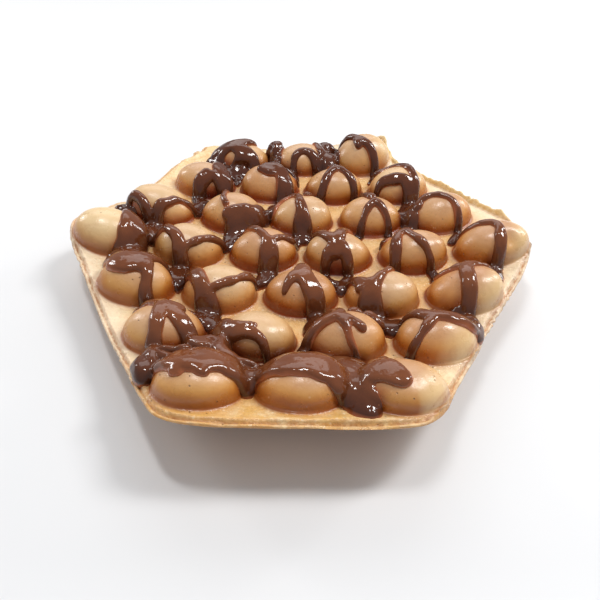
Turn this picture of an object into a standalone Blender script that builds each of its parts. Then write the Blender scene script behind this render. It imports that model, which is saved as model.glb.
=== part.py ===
"""Bubble waffle with chocolate sauce.

Thirty hollow egg shapes stand in seven rows on one thin sheet, baked in a round-cornered
hexagonal pan. The sheet curls up at its front, left and right edges, and warm sauce runs
over the eggs in loops and gathers between them. Batter and sauce are one solid.
"""
import math
import random

import bmesh
import bpy
import numpy as np

MM = 0.001

# Driving dimensions of the baked sheet, in metres
EGGS_IN_ROW = (3, 4, 5, 6, 5, 4, 3)
EGG_PITCH = 32.0 * MM
ROW_PITCH = 27.5 * MM
EGG_HALF_LENGTH = 14.5 * MM
EGG_HALF_WIDTH = 12.0 * MM
EGG_CROWN = 13.0 * MM
EGG_BELLY = 11.5 * MM
WEB_LEVEL = 10.6 * MM
WEB_THICKNESS = 3.0 * MM
RIM_BEVEL = 0.9 * MM

# How far each edge has curled up, at EDGE_REACH from the middle
LIFT_LEFT = 7.0 * MM
LIFT_RIGHT = 6.7 * MM
LIFT_FRONT = 8.2 * MM
LIFT_BACK = 0.5 * MM
EDGE_REACH = 80.0 * MM
# The back right corner turns up on its own, along one slanted direction
CORNER_LIFT = 10.0 * MM
CORNER_DIRECTION = (0.45, 0.89)
CORNER_START = 68.0 * MM
CORNER_END = 109.0 * MM

# Eggs that filled more or less than the rest: row, place in the row, share of the crown
UNEVEN_CROWNS = {
    (6, 0): 0.84,
    (6, 1): 0.88,
    (6, 2): 1.03,
    (3, 0): 1.08,
    (3, 5): 1.05,
    (0, 0): 1.03,
}
CROWN_SPREAD = 0.025
RANDOM_SEED = 11

# The sheet's edge, walked anticlockwise from the right tip, in millimetres
RIM_POINTS = (
    (98, 4), (92, 27), (74, 56), (60, 78), (52, 93), (43, 101), (10, 100.5), (-20, 101),
    (-48, 102), (-56, 97), (-66, 78), (-76, 47), (-88, 25), (-97.5, 11), (-95, -5),
    (-85, -26), (-68, -57), (-50, -87), (-41, -98), (-25, -101), (5, -100.5), (30, -99.5),
    (41, -94.5), (52, -77), (66, -52), (84, -26), (95, -7),
)
RIM_STEPS = 2
WEB_RINGS = (1.0, 0.82, 0.6, 0.36)

# Sauce: its depth, the spacing of its cross-sections, and how far it reaches into the web
SAUCE_DEPTH = 2.2 * MM
SAUCE_EDGE = 0.35 * MM
SAUCE_STEP = 6.5 * MM
SAUCE_ROOT = -1.4 * MM
ROOT_STAGGER = 0.004 * MM

# Runs of sauce by row, front to back, as (x, y, half width) in millimetres
RUNS_FRONT_ROW = (
    ((-42, -79, 3.5), (-36, -77, 6), (-30, -78, 8.5), (-24, -77.5, 8.5), (-19, -78, 7), (-16, -82, 4.5),
     (-16, -85.5, 3)),
    ((-10, -78, 6), (-4, -78, 8), (2, -78, 9), (8, -79, 9), (13, -80, 7)),
    ((-6, -71, 5), (0, -67, 5.5), (6, -69, 5), (14, -72, 5), (22, -71, 4)),
    ((14, -76, 6), (16, -83, 5.5), (17, -88, 5), (19, -91.5, 4.3), (20.5, -93, 3.6)),
    ((16, -75.5, 5), (21.5, -77, 4.3), (26, -80, 3.9), (29.5, -83, 3.5), (31.5, -85, 3)),
)
RUNS_SECOND_ROW = (
    ((-51, -48.5, 2.5), (-47, -51, 2.8), (-43, -52, 2.5)),
    ((-48.5, -52, 2.5), (-48.5, -58, 2.4), (-48.5, -65, 2.7), (-48.5, -70, 3.8), (-48, -75, 4.8),
     (-48, -79, 4.5)),
    ((-45, -53, 2.8), (-42, -56.5, 3), (-39, -60, 3), (-36, -64, 3.5), (-32, -67, 4)),
    ((-50, -71, 3), (-44, -73, 2.5), (-39, -73, 3)),
    ((-29, -52, 3), (-25.5, -56, 4), (-25, -62, 4), (-25.5, -68, 4), (-22, -72, 4)),
    ((-24, -56, 3), (-20, -57, 2.6), (-16, -57.5, 1.3)),
    ((-21, -60.5, 2.5), (-16, -61.5, 1.9), (-13, -64, 1.8), (-11.5, -68, 1.9), (-10, -72, 2.5)),
    ((-22, -72, 3), (-16, -73, 3), (-10, -74, 4)),
    ((-36, -64, 3), (-30, -62, 4)),
    ((1, -60, 2.3), (4, -56.5, 2.3), (8, -54.5, 2), (12, -53, 2.2), (13, -51, 2.5)),
    ((13.5, -54, 2), (15, -57.5, 1.7), (17.5, -62.5, 1.6), (19.5, -67, 1.9)),
    ((14, -54, 2), (17, -55.5, 1.6), (20, -58, 1.6)),
    ((9, -43, 3), (11, -47, 2.8), (13, -51, 2.6)),
    ((37, -43.5, 3), (42.5, -49, 2.2), (47.5, -51.5, 2.5), (54, -52, 2.7), (59.5, -50.5, 3.2), (63, -48, 3)),
    ((46, -52.5, 2), (43.5, -57, 1.9), (39.5, -61.5, 2.1), (35.5, -66.5, 2.3)),
)
RUNS_THIRD_ROW = (
    ((-73, -22, 4), (-67.5, -24, 6), (-62, -22, 5.5), (-57, -18, 3.5), (-53, -17, 3)),
    ((-58.5, -27, 2.6), (-58, -33, 2.3), (-58, -39, 3), (-56, -44, 4), (-50, -47, 3)),
    ((-47, -17, 3), (-43, -22, 3), (-41, -28, 3.2), (-40, -34, 4), (-38, -40, 5), (-35, -44, 4.5), (-31, -49, 3)),
    ((-40, -33, 2.5), (-36, -30, 1.9), (-31, -28.5, 1.9), (-26, -27.5, 1.9), (-21, -25.5, 1.8), (-19, -21, 2)),
    ((0, -20, 2.3), (0, -24, 3.8), (0, -28, 4)),
    ((-2.5, -27, 2.5), (-5.5, -32, 1.8), (-7.5, -37, 0.9)),
    ((1, -28, 3), (4, -33, 3), (6.5, -38, 3.5), (6.5, -43, 4), (3.5, -47, 2.5), (2, -49.5, 1.5)),
    ((27, -31, 3), (26, -36, 4), (27, -41, 4.5), (31, -45, 4), (33.5, -49, 2)),
    ((31, -45, 3.5), (37, -43.5, 3)),
    ((25, -42, 3), (19, -46, 2)),
    ((54, -21.5, 1.2), (59, -22.5, 1.4), (64, -22, 1.8), (70, -21.5, 1.4), (75, -19.5, 1.6)),
    ((64, -22.5, 2.5), (63, -27, 2.8), (62.8, -34, 2.8), (62.5, -41, 3), (62, -46, 4)),
)
RUNS_MIDDLE_ROW = (
    ((-79, 23, 2.5), (-76, 17, 3), (-72.5, 9, 4), (-70.5, 2, 5), (-70.5, -6, 6), (-69.5, -13, 6), (-68.5, -18, 7)),
    ((-60, 2.5, 1.8), (-57, 2.5, 2), (-54, -2, 2.1), (-50.5, -7, 2.5), (-49.5, -12, 3.2), (-49, -17, 4),
     (-48.5, -23, 2.5), (-48.5, -27, 1.3)),
    ((-50, -9, 2.5), (-46, -6.5, 1.7), (-41, -2.5, 1.5), (-36, 0.5, 1.6), (-32.5, 3.5, 1.8)),
    ((-29, 9, 2.5), (-23, 8, 1.6), (-19, 5.5, 1.7), (-16, 1, 2.4), (-13.5, -4, 2.9), (-13.5, -10, 4),
     (-14, -15, 4), (-16, -19, 3), (-17, -21, 1.8)),
    ((-13, 0, 1.8), (-10, 4, 1.6), (-6, 8, 1.9), (-3, 11.5, 2.5)),
    ((17, 6, 2.5), (14, 2, 3.2), (13, -3, 4.2), (13.5, -7, 4.3)),
    ((9, -8, 2), (9, -12, 1.7), (11, -16, 1.8)),
    ((18.5, -8, 2), (20, -13, 2.1), (17.5, -19, 2.8), (16, -24, 2.2)),
    ((14, 4, 2), (9, 5.5, 1.7), (5, 10, 2)),
    ((44, 4.5, 2), (41, 1.5, 2), (39.5, -4, 2.2), (39, -11, 2.2), (37, -17, 1.7), (33.5, -23, 1.4),
     (30, -28, 1.8), (27.5, -32, 2.5)),
    ((44, 4.5, 2), (47, 1.5, 1.5), (50, -3, 1.6), (52.5, -8, 1.8), (54.5, -13, 1.9), (53.5, -17, 2), (52, -19.5, 1.5)),
    ((71, 13, 1.3), (74, 9.5, 1.5), (78, 8.5, 1.6), (81, 8, 1.7), (83, 5, 2), (81.5, 0, 2.2), (80.5, -6, 2.3),
     (80, -12, 2.4), (79, -15, 3)),
    ((74, -13, 2), (78, -16, 2.8), (79.5, -19, 2.2), (79, -22, 1.5)),
)
RUNS_FIFTH_ROW = (
    ((-82, 24.5, 2.2), (-78.5, 26, 2.6), (-75.5, 25, 2.1), (-72, 21, 2.2), (-68, 17, 2.5)),
    ((-67, 17, 2.5), (-63, 21, 2.3), (-58, 24, 1.9), (-54, 23.5, 1.8), (-50.5, 24.5, 1.8), (-48.5, 27, 1.8)),
    ((-65, 18, 5), (-65, 13, 5), (-64, 7, 3.8), (-63, 3, 2.2)),
    ((-33, 19, 2.5), (-28, 19, 4), (-22, 21, 4), (-17, 27, 3), (-15, 33, 3)),
    ((-30, 17, 4), (-31, 11, 4), (-32, 5, 2.5), (-32, 3, 1.5)),
    ((-2, 32.5, 1.6), (-1, 27, 2), (0, 21, 2.8), (0.5, 16, 4.2), (0.5, 13, 4.2)),
    ((-14, 37.5, 2.3), (-9, 35.5, 1.8), (-5, 34, 1.6), (-2, 32, 1.6)),
    ((33, 30.5, 2), (29.5, 27, 1.3), (27.5, 21, 1.6), (25.5, 15, 1.9), (22, 11, 2), (19, 7, 2.5)),
    ((32, 30.5, 2), (36, 28, 1.8), (39, 23, 2), (40.5, 17, 2.1), (39.5, 11, 2.1), (36.5, 6, 1.8)),
    ((53, 27, 2.5), (55, 30.5, 1.7), (59.5, 31.5, 1.5), (64, 29.5, 1.5), (68, 25.5, 1.6), (70, 20, 1.7),
     (70.5, 15, 1.8), (67.5, 10, 2.2), (64, 6, 2.5), (62.5, 1.5, 2.2)),
)
RUNS_SIXTH_ROW = (
    ((-42, 60, 2.5), (-40, 55, 4), (-38, 50, 4), (-37, 45, 3)),
    ((-46, 49, 2.5), (-49, 45, 3), (-50, 41, 3), (-49, 37, 3), (-48.5, 31, 2), (-48.5, 27.5, 1.5)),
    ((-48, 38, 3), (-43, 38.5, 2.5), (-38, 42, 3)),
    ((-46, 47, 2.5), (-42.5, 49, 2.3), (-39, 46, 2.3)),
    ((-38, 66, 3), (-33, 64, 2.5), (-33, 59, 1.5)),
    ((-38, 45, 3), (-34, 41, 3), (-35, 36, 1.5), (-35.5, 27, 1), (-34, 23, 1.5)),
    ((-18, 58, 2.2), (-13, 58, 3), (-9.5, 53, 3.8), (-8, 47, 4.3), (-9.5, 41, 3.5), (-13, 37, 3), (-16, 32, 2)),
    ((17, 60, 2.2), (14, 56, 1.8), (11.5, 51, 2), (9.5, 45, 2.2), (7.5, 42, 2), (5, 37, 1.5), (2, 33, 1.5)),
    ((18, 60, 2.2), (21, 56.5, 1.5), (24, 52, 1.9), (26, 46, 2), (27, 41, 2), (30, 36, 2.3), (32, 32, 2.2)),
    ((38, 62, 2), (42, 65, 1.8), (47, 65, 1.8), (51.5, 61.5, 2), (54, 56, 2.1), (55, 50, 2.2), (54.5, 44, 2.5),
     (52.5, 40, 3)),
    ((36, 42.5, 1.6), (38.5, 47, 2.3), (43.5, 49.5, 2.8), (49, 49, 2.8), (52, 45, 3), (52, 40, 3.5),
     (49.5, 35, 4), (49, 29, 3.5), (50, 22, 3.5), (49, 14, 3), (46, 8, 2.2)),
)
RUNS_BACK_ROW = (
    ((-48, 80, 3), (-42, 82, 3.5), (-36, 82, 4), (-30, 84, 4), (-26, 86, 3), (-20, 89, 3.5), (-15, 86, 3.5),
     (-14, 79, 3.5), (-14, 72, 3)),
    ((-40, 76, 4.5), (-33, 76, 5), (-27, 75, 3.5), (-24, 71, 3)),
    ((-47, 79, 3), (-44, 73, 3), (-40, 68, 3), (-34, 67, 3.5), (-28, 68, 3), (-22, 69, 2.5)),
    ((-4, 68, 2.5), (-4, 73, 1.8), (-2.5, 77, 1.8), (1, 78.5, 2), (5, 77, 2.5), (8, 73, 3)),
    ((-14, 69, 3), (-8, 69, 2.5), (-4, 67, 2.5), (-3, 62, 2), (-2.8, 59.5, 1.5)),
    ((9, 89, 4), (12, 86, 5.5), (14, 80, 6), (14, 75, 5), (15, 68, 4), (16, 62, 3)),
    ((16, 90, 3), (20, 89.5, 2), (25, 88, 2), (29, 86.5, 2.3), (33, 83, 2.5), (36, 79, 2.2), (38.5, 74, 2.2),
     (39, 69, 2.2), (36, 64.5, 2)),
    ((28, 84, 2), (28.5, 80, 1.5)),
)
SAUCE_RUNS = (RUNS_FRONT_ROW + RUNS_SECOND_ROW + RUNS_THIRD_ROW + RUNS_MIDDLE_ROW
              + RUNS_FIFTH_ROW + RUNS_SIXTH_ROW + RUNS_BACK_ROW)

# Facets of one egg
EGG_SEGMENTS = 14
EGG_RINGS = 7

# The joined solid is gone over with an even grid, then thinned to this many triangles
GRID_SIZE = 0.9 * MM
TRIANGLES = 11600
FLOOR_SNAP = 0.04 * MM

BATTER_COLOUR = (0.66, 0.36, 0.14, 1.0)
BATTER_ROUGHNESS = 0.42


def clear_scene():
    for item in list(bpy.data.objects):
        bpy.data.objects.remove(item, do_unlink=True)


def batter_material():
    material = bpy.data.materials.new("baked_batter")
    material.use_nodes = True
    surface = material.node_tree.nodes["Principled BSDF"]
    surface.inputs["Base Color"].default_value = BATTER_COLOUR
    surface.inputs["Roughness"].default_value = BATTER_ROUGHNESS
    surface.inputs["Metallic"].default_value = 0.0
    return material


def smooth_path(points, steps, closed=False):
    """Points on a smooth curve through the given ones, with some steps in each span."""
    known = np.array(points, float)
    if closed:
        known = np.vstack([known[-1], known, known[0], known[1]])
    else:
        known = np.vstack([2 * known[0] - known[1], known, 2 * known[-1] - known[-2]])
    path = []
    for before, here, ahead, beyond in zip(known, known[1:], known[2:], known[3:]):
        for part in np.arange(steps) / steps:
            path.append(0.5 * (2 * here + (ahead - before) * part
                               + (2 * before - 5 * here + 4 * ahead - beyond) * part ** 2
                               + (3 * here - before - 3 * ahead + beyond) * part ** 3))
    if not closed:
        path.append(known[-2])
    return np.array(path)


def even_path(points, spacing):
    """The smooth curve through the points, sampled again at an even spacing."""
    fine = smooth_path(points, 12)
    walked = np.concatenate([[0.0], np.cumsum(np.linalg.norm(np.diff(fine[:, :2], axis=0), axis=1))])
    count = max(2, round(walked[-1] / spacing) + 1)
    places = np.linspace(0.0, walked[-1], count)
    return np.stack([np.interp(places, walked, fine[:, k]) for k in range(fine.shape[1])], 1)


def egg_places():
    """Centre of each egg in plan, with its crown's height."""
    chance = random.Random(RANDOM_SEED)
    places = []
    middle_row = len(EGGS_IN_ROW) // 2
    for row, count in enumerate(EGGS_IN_ROW):
        for place in range(count):
            x = (place - (count - 1) / 2) * EGG_PITCH
            y = (row - middle_row) * ROW_PITCH
            fill = UNEVEN_CROWNS.get((row, place), 1.0) + chance.uniform(-CROWN_SPREAD, CROWN_SPREAD)
            places.append((x, y, EGG_CROWN * fill))
    return places


def top_height(x, y, eggs):
    """Height of the batter's upper face over the web, before the sheet curls."""
    height = 0.0
    for egg_x, egg_y, crown in eggs:
        inside = 1 - ((x - egg_x) / EGG_HALF_LENGTH) ** 2 - ((y - egg_y) / EGG_HALF_WIDTH) ** 2
        if inside > 0:
            height = max(height, crown * math.sqrt(inside))
    return height


def curl(x, y):
    """How far the sheet has lifted at a place in plan."""
    side = LIFT_LEFT if x < 0 else LIFT_RIGHT
    end = LIFT_FRONT if y < 0 else LIFT_BACK
    lift = side * abs(x / EDGE_REACH) ** 3 + end * abs(y / EDGE_REACH) ** 3
    along = CORNER_DIRECTION[0] * x + CORNER_DIRECTION[1] * y
    turned = max(0.0, (along - CORNER_START) / (CORNER_END - CORNER_START))
    return lift + CORNER_LIFT * turned ** 2


def add_object(name, bm, collection):
    bmesh.ops.recalc_face_normals(bm, faces=bm.faces)
    mesh = bpy.data.meshes.new(name)
    bm.to_mesh(mesh)
    bm.free()
    item = bpy.data.objects.new(name, mesh)
    collection.objects.link(item)
    return item


def web_sheet(outline):
    """The thin sheet that joins the eggs, as rings of the outline on two levels."""
    bm = bmesh.new()
    levels = []
    for z, inset in ((0.0, RIM_BEVEL), (-WEB_THICKNESS, RIM_BEVEL)):
        rings = []
        for scale in WEB_RINGS:
            shrink = 1 - inset / EDGE_REACH if scale == 1.0 else scale
            rings.append([bm.verts.new((x * shrink, y * shrink, z)) for x, y in outline])
        levels.append(rings)
    edge = [bm.verts.new((x, y, -WEB_THICKNESS / 2)) for x, y in outline]
    for rings in levels:
        for outer, inner in zip(rings, rings[1:]):
            bmesh.ops.bridge_loops(bm, edges=loop_edges(bm, outer) + loop_edges(bm, inner))
        bm.faces.new(rings[-1])
    for rings in levels:
        bmesh.ops.bridge_loops(bm, edges=loop_edges(bm, rings[0]) + loop_edges(bm, edge))
    return bm


def loop_edges(bm, ring):
    """Edges round a closed ring of vertices, made where they are missing."""
    edges = []
    for first, second in zip(ring, ring[1:] + ring[:1]):
        edges.append(bm.edges.get((first, second)) or bm.edges.new((first, second)))
    return edges


def egg(x, y, crown):
    """One egg: a tall crown over the web and a shallower belly under it."""
    bm = bmesh.new()
    bmesh.ops.create_uvsphere(bm, u_segments=EGG_SEGMENTS, v_segments=EGG_RINGS, radius=1.0)
    widest = max(math.hypot(v.co.x, v.co.y) for v in bm.verts)
    for vert in bm.verts:
        height = crown if vert.co.z > 0 else EGG_BELLY
        vert.co = (x + vert.co.x * EGG_HALF_LENGTH / widest,
                   y + vert.co.y * EGG_HALF_WIDTH / widest,
                   vert.co.z * height)
    return bm


def sauce_run(run, eggs, root):
    """One run of sauce: a strip with a rounded top that follows the eggs and is rooted in the web."""
    path = even_path(np.array(run) * MM, SAUCE_STEP)
    ahead = np.gradient(path[:, :2], axis=0)
    ahead /= np.linalg.norm(ahead, axis=1)[:, None]
    bm = bmesh.new()
    rings = []
    last = len(path) - 1
    for index, ((x, y, half), (ahead_x, ahead_y)) in enumerate(zip(path, ahead)):
        reach = half * 0.75 * ((index == last) - (index == 0))
        x += ahead_x * reach
        y += ahead_y * reach
        if index in (0, last):
            half *= 0.55
        ring = []
        for share, rise in ((-1.0, SAUCE_EDGE), (-0.45, SAUCE_DEPTH), (0.45, SAUCE_DEPTH), (1.0, SAUCE_EDGE)):
            px = x - ahead_y * half * share
            py = y + ahead_x * half * share
            rise = min(rise, half) if index not in (0, last) else SAUCE_EDGE
            ring.append(bm.verts.new((px, py, top_height(px, py, eggs) + rise)))
        for share in (0.8, -0.8):
            ring.append(bm.verts.new((x - ahead_y * half * share, y + ahead_x * half * share, root)))
        rings.append(ring)
    for first, second in zip(rings, rings[1:]):
        for k in range(len(first)):
            n = (k + 1) % len(first)
            bm.faces.new((first[k], first[n], second[n], second[k]))
    bm.faces.new(rings[0])
    bm.faces.new(rings[-1])
    bmesh.ops.triangulate(bm, faces=bm.faces)
    return bm


def apply_modifier(item, kind, **settings):
    """Adds one modifier to an object, with its settings, and applies it."""
    modifier = item.modifiers.new("step", kind)
    for name, value in settings.items():
        setattr(modifier, name, value)
    bpy.context.view_layer.update()
    shaped = item.evaluated_get(bpy.context.evaluated_depsgraph_get())
    result = bpy.data.meshes.new_from_object(shaped)
    item.modifiers.remove(modifier)
    item.data = result


def join_all(base, pieces):
    """One Boolean union of the base with every piece of the collection."""
    apply_modifier(base, "BOOLEAN", operation="UNION", operand_type="COLLECTION",
                   collection=pieces, solver="EXACT")
    for item in list(pieces.objects):
        bpy.data.objects.remove(item, do_unlink=True)
    bpy.data.collections.remove(pieces)


def shells(bm):
    """The mesh's connected surfaces, each as a list of faces."""
    waiting = set(bm.faces)
    found = []
    while waiting:
        edge_of = [waiting.pop()]
        shell = []
        while edge_of:
            face = edge_of.pop()
            shell.append(face)
            for edge in face.edges:
                for other in edge.link_faces:
                    if other in waiting:
                        waiting.remove(other)
                        edge_of.append(other)
        found.append(shell)
    return found


def keep_outer_shell(bm):
    """Loose scraps are dropped and sealed hollows filled, by keeping the largest surface alone."""
    found = sorted(shells(bm), key=len)
    extra = [face for shell in found[:-1] for face in shell]
    bmesh.ops.delete(bm, geom=extra, context="FACES")


def settle(item, middle):
    """Curls the sheet, centres it over the origin and flattens the bellies that stand on the floor."""
    bm = bmesh.new()
    bm.from_mesh(item.data)
    keep_outer_shell(bm)
    for vert in bm.verts:
        height = WEB_LEVEL + vert.co.z + curl(vert.co.x, vert.co.y)
        vert.co = (vert.co.x - middle[0], vert.co.y - middle[1], max(0.0, height))
    bm.to_mesh(item.data)
    bm.free()


def snap_to_floor(item):
    """Brings the points that thinning left a hair off the floor back onto it."""
    for vert in item.data.vertices:
        if vert.co.z < FLOOR_SNAP:
            vert.co.z = 0.0


def build_waffle():
    scene = bpy.context.scene.collection
    eggs = egg_places()
    outline = smooth_path(np.array(RIM_POINTS) * MM, RIM_STEPS, closed=True)
    waffle = add_object("waffle", web_sheet(outline), scene)
    pieces = bpy.data.collections.new("pieces")
    scene.children.link(pieces)
    for number, place in enumerate(eggs):
        add_object(f"egg_{number}", egg(*place), pieces)
    for number, run in enumerate(SAUCE_RUNS):
        add_object(f"run_{number}", sauce_run(run, eggs, SAUCE_ROOT - ROOT_STAGGER * number), pieces)
    join_all(waffle, pieces)

    apply_modifier(waffle, "REMESH", mode="VOXEL", voxel_size=GRID_SIZE, adaptivity=0.0)
    settle(waffle, (outline.min(axis=0) + outline.max(axis=0)) / 2)
    faces = sum(len(face.vertices) - 2 for face in waffle.data.polygons)
    apply_modifier(waffle, "DECIMATE", ratio=TRIANGLES / faces, use_collapse_triangulate=True)
    snap_to_floor(waffle)
    waffle.data.materials.clear()
    waffle.data.materials.append(batter_material())
    waffle.data.shade_smooth()
    waffle.data.set_sharp_from_angle(angle=math.radians(50))
    return waffle


clear_scene()
build_waffle()
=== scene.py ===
# %% [markdown]
# A bubble waffle comes out of a pan of two halves, each with thirty egg-shaped cups. The batter
# swells into both halves and leaves a thin sheet along the parting. The construction model gives
# its place and its size, and this lesson builds the surface that the eye sees: smooth baked domes,
# a thin crust edge and glossy sauce.

# %% Load the frame
import math
import random

import bmesh
import bpy
import numpy as np
from mathutils import Matrix, Vector
from mathutils.geometry import delaunay_2d_cdt


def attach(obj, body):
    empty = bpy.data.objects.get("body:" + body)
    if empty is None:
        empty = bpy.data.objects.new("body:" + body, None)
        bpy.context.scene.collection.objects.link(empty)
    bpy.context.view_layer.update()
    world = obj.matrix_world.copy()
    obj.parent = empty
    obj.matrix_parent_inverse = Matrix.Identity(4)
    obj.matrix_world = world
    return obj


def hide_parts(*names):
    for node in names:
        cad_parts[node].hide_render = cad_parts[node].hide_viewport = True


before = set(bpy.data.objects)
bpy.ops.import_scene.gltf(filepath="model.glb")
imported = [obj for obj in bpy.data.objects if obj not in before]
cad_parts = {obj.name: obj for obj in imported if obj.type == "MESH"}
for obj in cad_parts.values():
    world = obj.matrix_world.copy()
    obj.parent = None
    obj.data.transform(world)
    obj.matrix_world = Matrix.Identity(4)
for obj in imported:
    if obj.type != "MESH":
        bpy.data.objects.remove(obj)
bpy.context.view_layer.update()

# %% [markdown]
# Every shape below is worked out in millimetres, because a baker thinks in them, and turned into
# metres once, when a mesh is made. Heights count from the top of the sheet, which lies WEB_LEVEL
# over the table. These are the pan's own sizes: how far apart the cups are, and how long, wide
# and deep each one is.

# %% Sizes of the pan, in millimetres
MM = 0.001
EGGS_IN_ROW = (3, 4, 5, 6, 5, 4, 3)
EGG_PITCH = 32.0
ROW_PITCH = 27.5
EGG_HALF_LENGTH = 14.5
EGG_HALF_WIDTH = 12.0
EGG_CROWN = 13.0
EGG_BELLY = 11.4
WEB_LEVEL = 10.6
WEB_THICKNESS = 2.9
print("a pan of", sum(EGGS_IN_ROW), "cups,", EGG_PITCH, "by", ROW_PITCH, "mm apart")

# %% [markdown]
# No two eggs come out alike. Some cups held more batter, some eggs have a dent, and each browned
# in its own way. One egg could be copied thirty times and bent by noise, but then the odd ones
# would not be where they really are. So those are named here by row and place, from the front
# left, and only the small rest is left to chance. A dent has a place, a reach and a depth. A tone
# runs from -1, baked dark, to 1, baked pale.

# %% Eggs that differ from the rest
UNEVEN_CROWNS = {(6, 0): 0.84, (6, 1): 0.88, (6, 2): 1.03, (3, 0): 1.08, (3, 5): 1.05, (0, 0): 1.03}
CROWN_SPREAD = 0.025
LONGER_BY = {(3, 5): 1.1}
DENTS = ((85.0, -7.0, 3.0, 3.0), (-76.0, -10.0, 2.0, 0.5), (33.0, -87.5, 3.0, 0.5))
EGG_TONES = (
    (0.0, -0.2, -0.2),
    (0.1, 0.4, -0.3, -0.4),
    (0.0, 0.5, -0.6, 0.3, -0.5),
    (1.0, 0.4, -0.4, 0.1, -0.2, -0.3),
    (0.6, 0.0, 0.2, -0.1, -0.1),
    (0.1, -0.4, -0.1, 0.6),
    (0.3, 0.2, 0.2),
)
LESS_BROWNED = ((2, 1), (2, 3), (3, 1))
print(len(UNEVEN_CROWNS), "eggs of another height,", len(DENTS), "dents")

# %% [markdown]
# The rows are centred one behind the other, so the place of an egg follows from its row and its
# number in it. All that belongs to an egg is kept together in one table, which every later step
# reads. One question about an egg is asked again and again: how far towards its border a place is.


# %% A table of the eggs
EGG_SEED = 11


def egg_table():
    """Centre, crown height, length to the right and baking of each egg, front row first."""
    chance = random.Random(EGG_SEED)
    table = []
    middle_row = len(EGGS_IN_ROW) // 2
    for row, count in enumerate(EGGS_IN_ROW):
        for place in range(count):
            fill = UNEVEN_CROWNS.get((row, place), 1.0) + chance.uniform(-CROWN_SPREAD, CROWN_SPREAD)
            table.append({
                "x": (place - (count - 1) / 2) * EGG_PITCH,
                "y": (row - middle_row) * ROW_PITCH,
                "crown": EGG_CROWN * fill,
                "right": EGG_HALF_LENGTH + LONGER_BY.get((row, place), 0.0),
                "tone": EGG_TONES[row][place],
                "browned": (row, place) not in LESS_BROWNED,
            })
    return table


def egg_share(egg, x, y):
    """Where places in plan lie on an egg: 0 at its middle, 1 at its border."""
    length = np.where(x > egg["x"], egg["right"], EGG_HALF_LENGTH)
    return ((x - egg["x"]) / length) ** 2 + ((y - egg["y"]) / EGG_HALF_WIDTH) ** 2


eggs = egg_table()
crowns = [egg["crown"] for egg in eggs]
print(len(eggs), "eggs, crowns from", round(min(crowns), 1), "to", round(max(crowns), 1), "mm")

# %% [markdown]
# Nothing baked is flat. As the sheet cools its edges rise, more at the front than at the back,
# and one back corner turns right up. Bones or a lattice could bend the finished mesh, but a single
# function of the place in plan is simpler, and it bends batter and sauce by exactly the same
# amount, so that they stay together.

# %% How the sheet curls
LIFT_LEFT, LIFT_RIGHT, LIFT_FRONT, LIFT_BACK = 7.0, 6.7, 8.2, 0.5
EDGE_REACH = 80.0
CORNER_LIFT = 10.0
CORNER_DIRECTION = (0.45, 0.89)
CORNER_START, CORNER_END = 68.0, 109.0
EDGE_POWER = 3
CORNER_POWER = 2


def curl(x, y):
    """How far the sheet has lifted at places in plan."""
    side_lift = np.where(x < 0, LIFT_LEFT, LIFT_RIGHT) * np.abs(x / EDGE_REACH) ** EDGE_POWER
    end_lift = np.where(y < 0, LIFT_FRONT, LIFT_BACK) * np.abs(y / EDGE_REACH) ** EDGE_POWER
    along = CORNER_DIRECTION[0] * x + CORNER_DIRECTION[1] * y
    turned = np.clip((along - CORNER_START) / (CORNER_END - CORNER_START), 0, None)
    return side_lift + end_lift + CORNER_LIFT * turned ** CORNER_POWER


front_lift = float(curl(0, -3 * ROW_PITCH))
print("lift in the middle", float(curl(0, 0)), "and at the front row", round(front_lift, 1), "mm")

# %% [markdown]
# Batter and sauce are uneven in a slow, soft way. Random numbers for every point would give grit.
# A few sine waves that cross at random angles give soft lumps of one size, and a fixed seed makes
# them come out the same in each run.


# %% Soft unevenness
WAVES = 6
WAVE_SPREAD = (0.7, 1.5)


def lumps(x, y, size, seed):
    """Smooth unevenness from about -1 to 1, as a few crossing waves of one size."""
    chance = random.Random(seed)
    total = np.zeros(np.shape(x))
    for _ in range(WAVES):
        angle = chance.uniform(0, math.tau)
        length = size * chance.uniform(*WAVE_SPREAD)
        across = x * math.cos(angle) + y * math.sin(angle)
        total += np.sin(across * math.tau / length + chance.uniform(0, math.tau))
    return total / (WAVES / 2)


print("lumps along a line:", np.round(lumps(np.arange(0, 20, 5), 0, size=13.0, seed=3), 2))

# %% [markdown]
# Outlines and runs of sauce are both smooth lines through a few points. A curve object could draw
# them, but later steps need to measure along them, so they are worked out as plain points. The
# first helper rounds the line, and the second walks it in even steps.


# %% A smooth curve through a few points
FINE_STEPS = 14


def smooth_path(points, steps, closed=False):
    """Points on a smooth curve through the given ones, with some steps in each span."""
    known = np.array(points, float)
    if closed:
        known = np.vstack([known[-1], known, known[0], known[1]])
    else:
        known = np.vstack([2 * known[0] - known[1], known, 2 * known[-1] - known[-2]])
    path = []
    for before, here, ahead, beyond in zip(known, known[1:], known[2:], known[3:]):
        for part in np.arange(steps) / steps:
            path.append(0.5 * (2 * here + (ahead - before) * part
                               + (2 * before - 5 * here + 4 * ahead - beyond) * part ** 2
                               + (3 * here - before - 3 * ahead + beyond) * part ** 3))
    if not closed:
        path.append(known[-2])
    return np.array(path)


def even_path(points, spacing, closed=False):
    """The smooth curve through the points, sampled again at an even spacing."""
    fine = smooth_path(points, FINE_STEPS, closed)
    if closed:
        fine = np.vstack([fine, fine[:1]])
    steps = np.linalg.norm(np.diff(fine[:, :2], axis=0), axis=1)
    walked = np.concatenate([[0.0], np.cumsum(steps)])
    count = max(2, round(walked[-1] / spacing) + 1)
    places = np.linspace(0.0, walked[-1], count)
    path = np.stack([np.interp(places, walked, fine[:, k]) for k in range(fine.shape[1])], 1)
    return path[:-1] if closed else path


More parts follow.
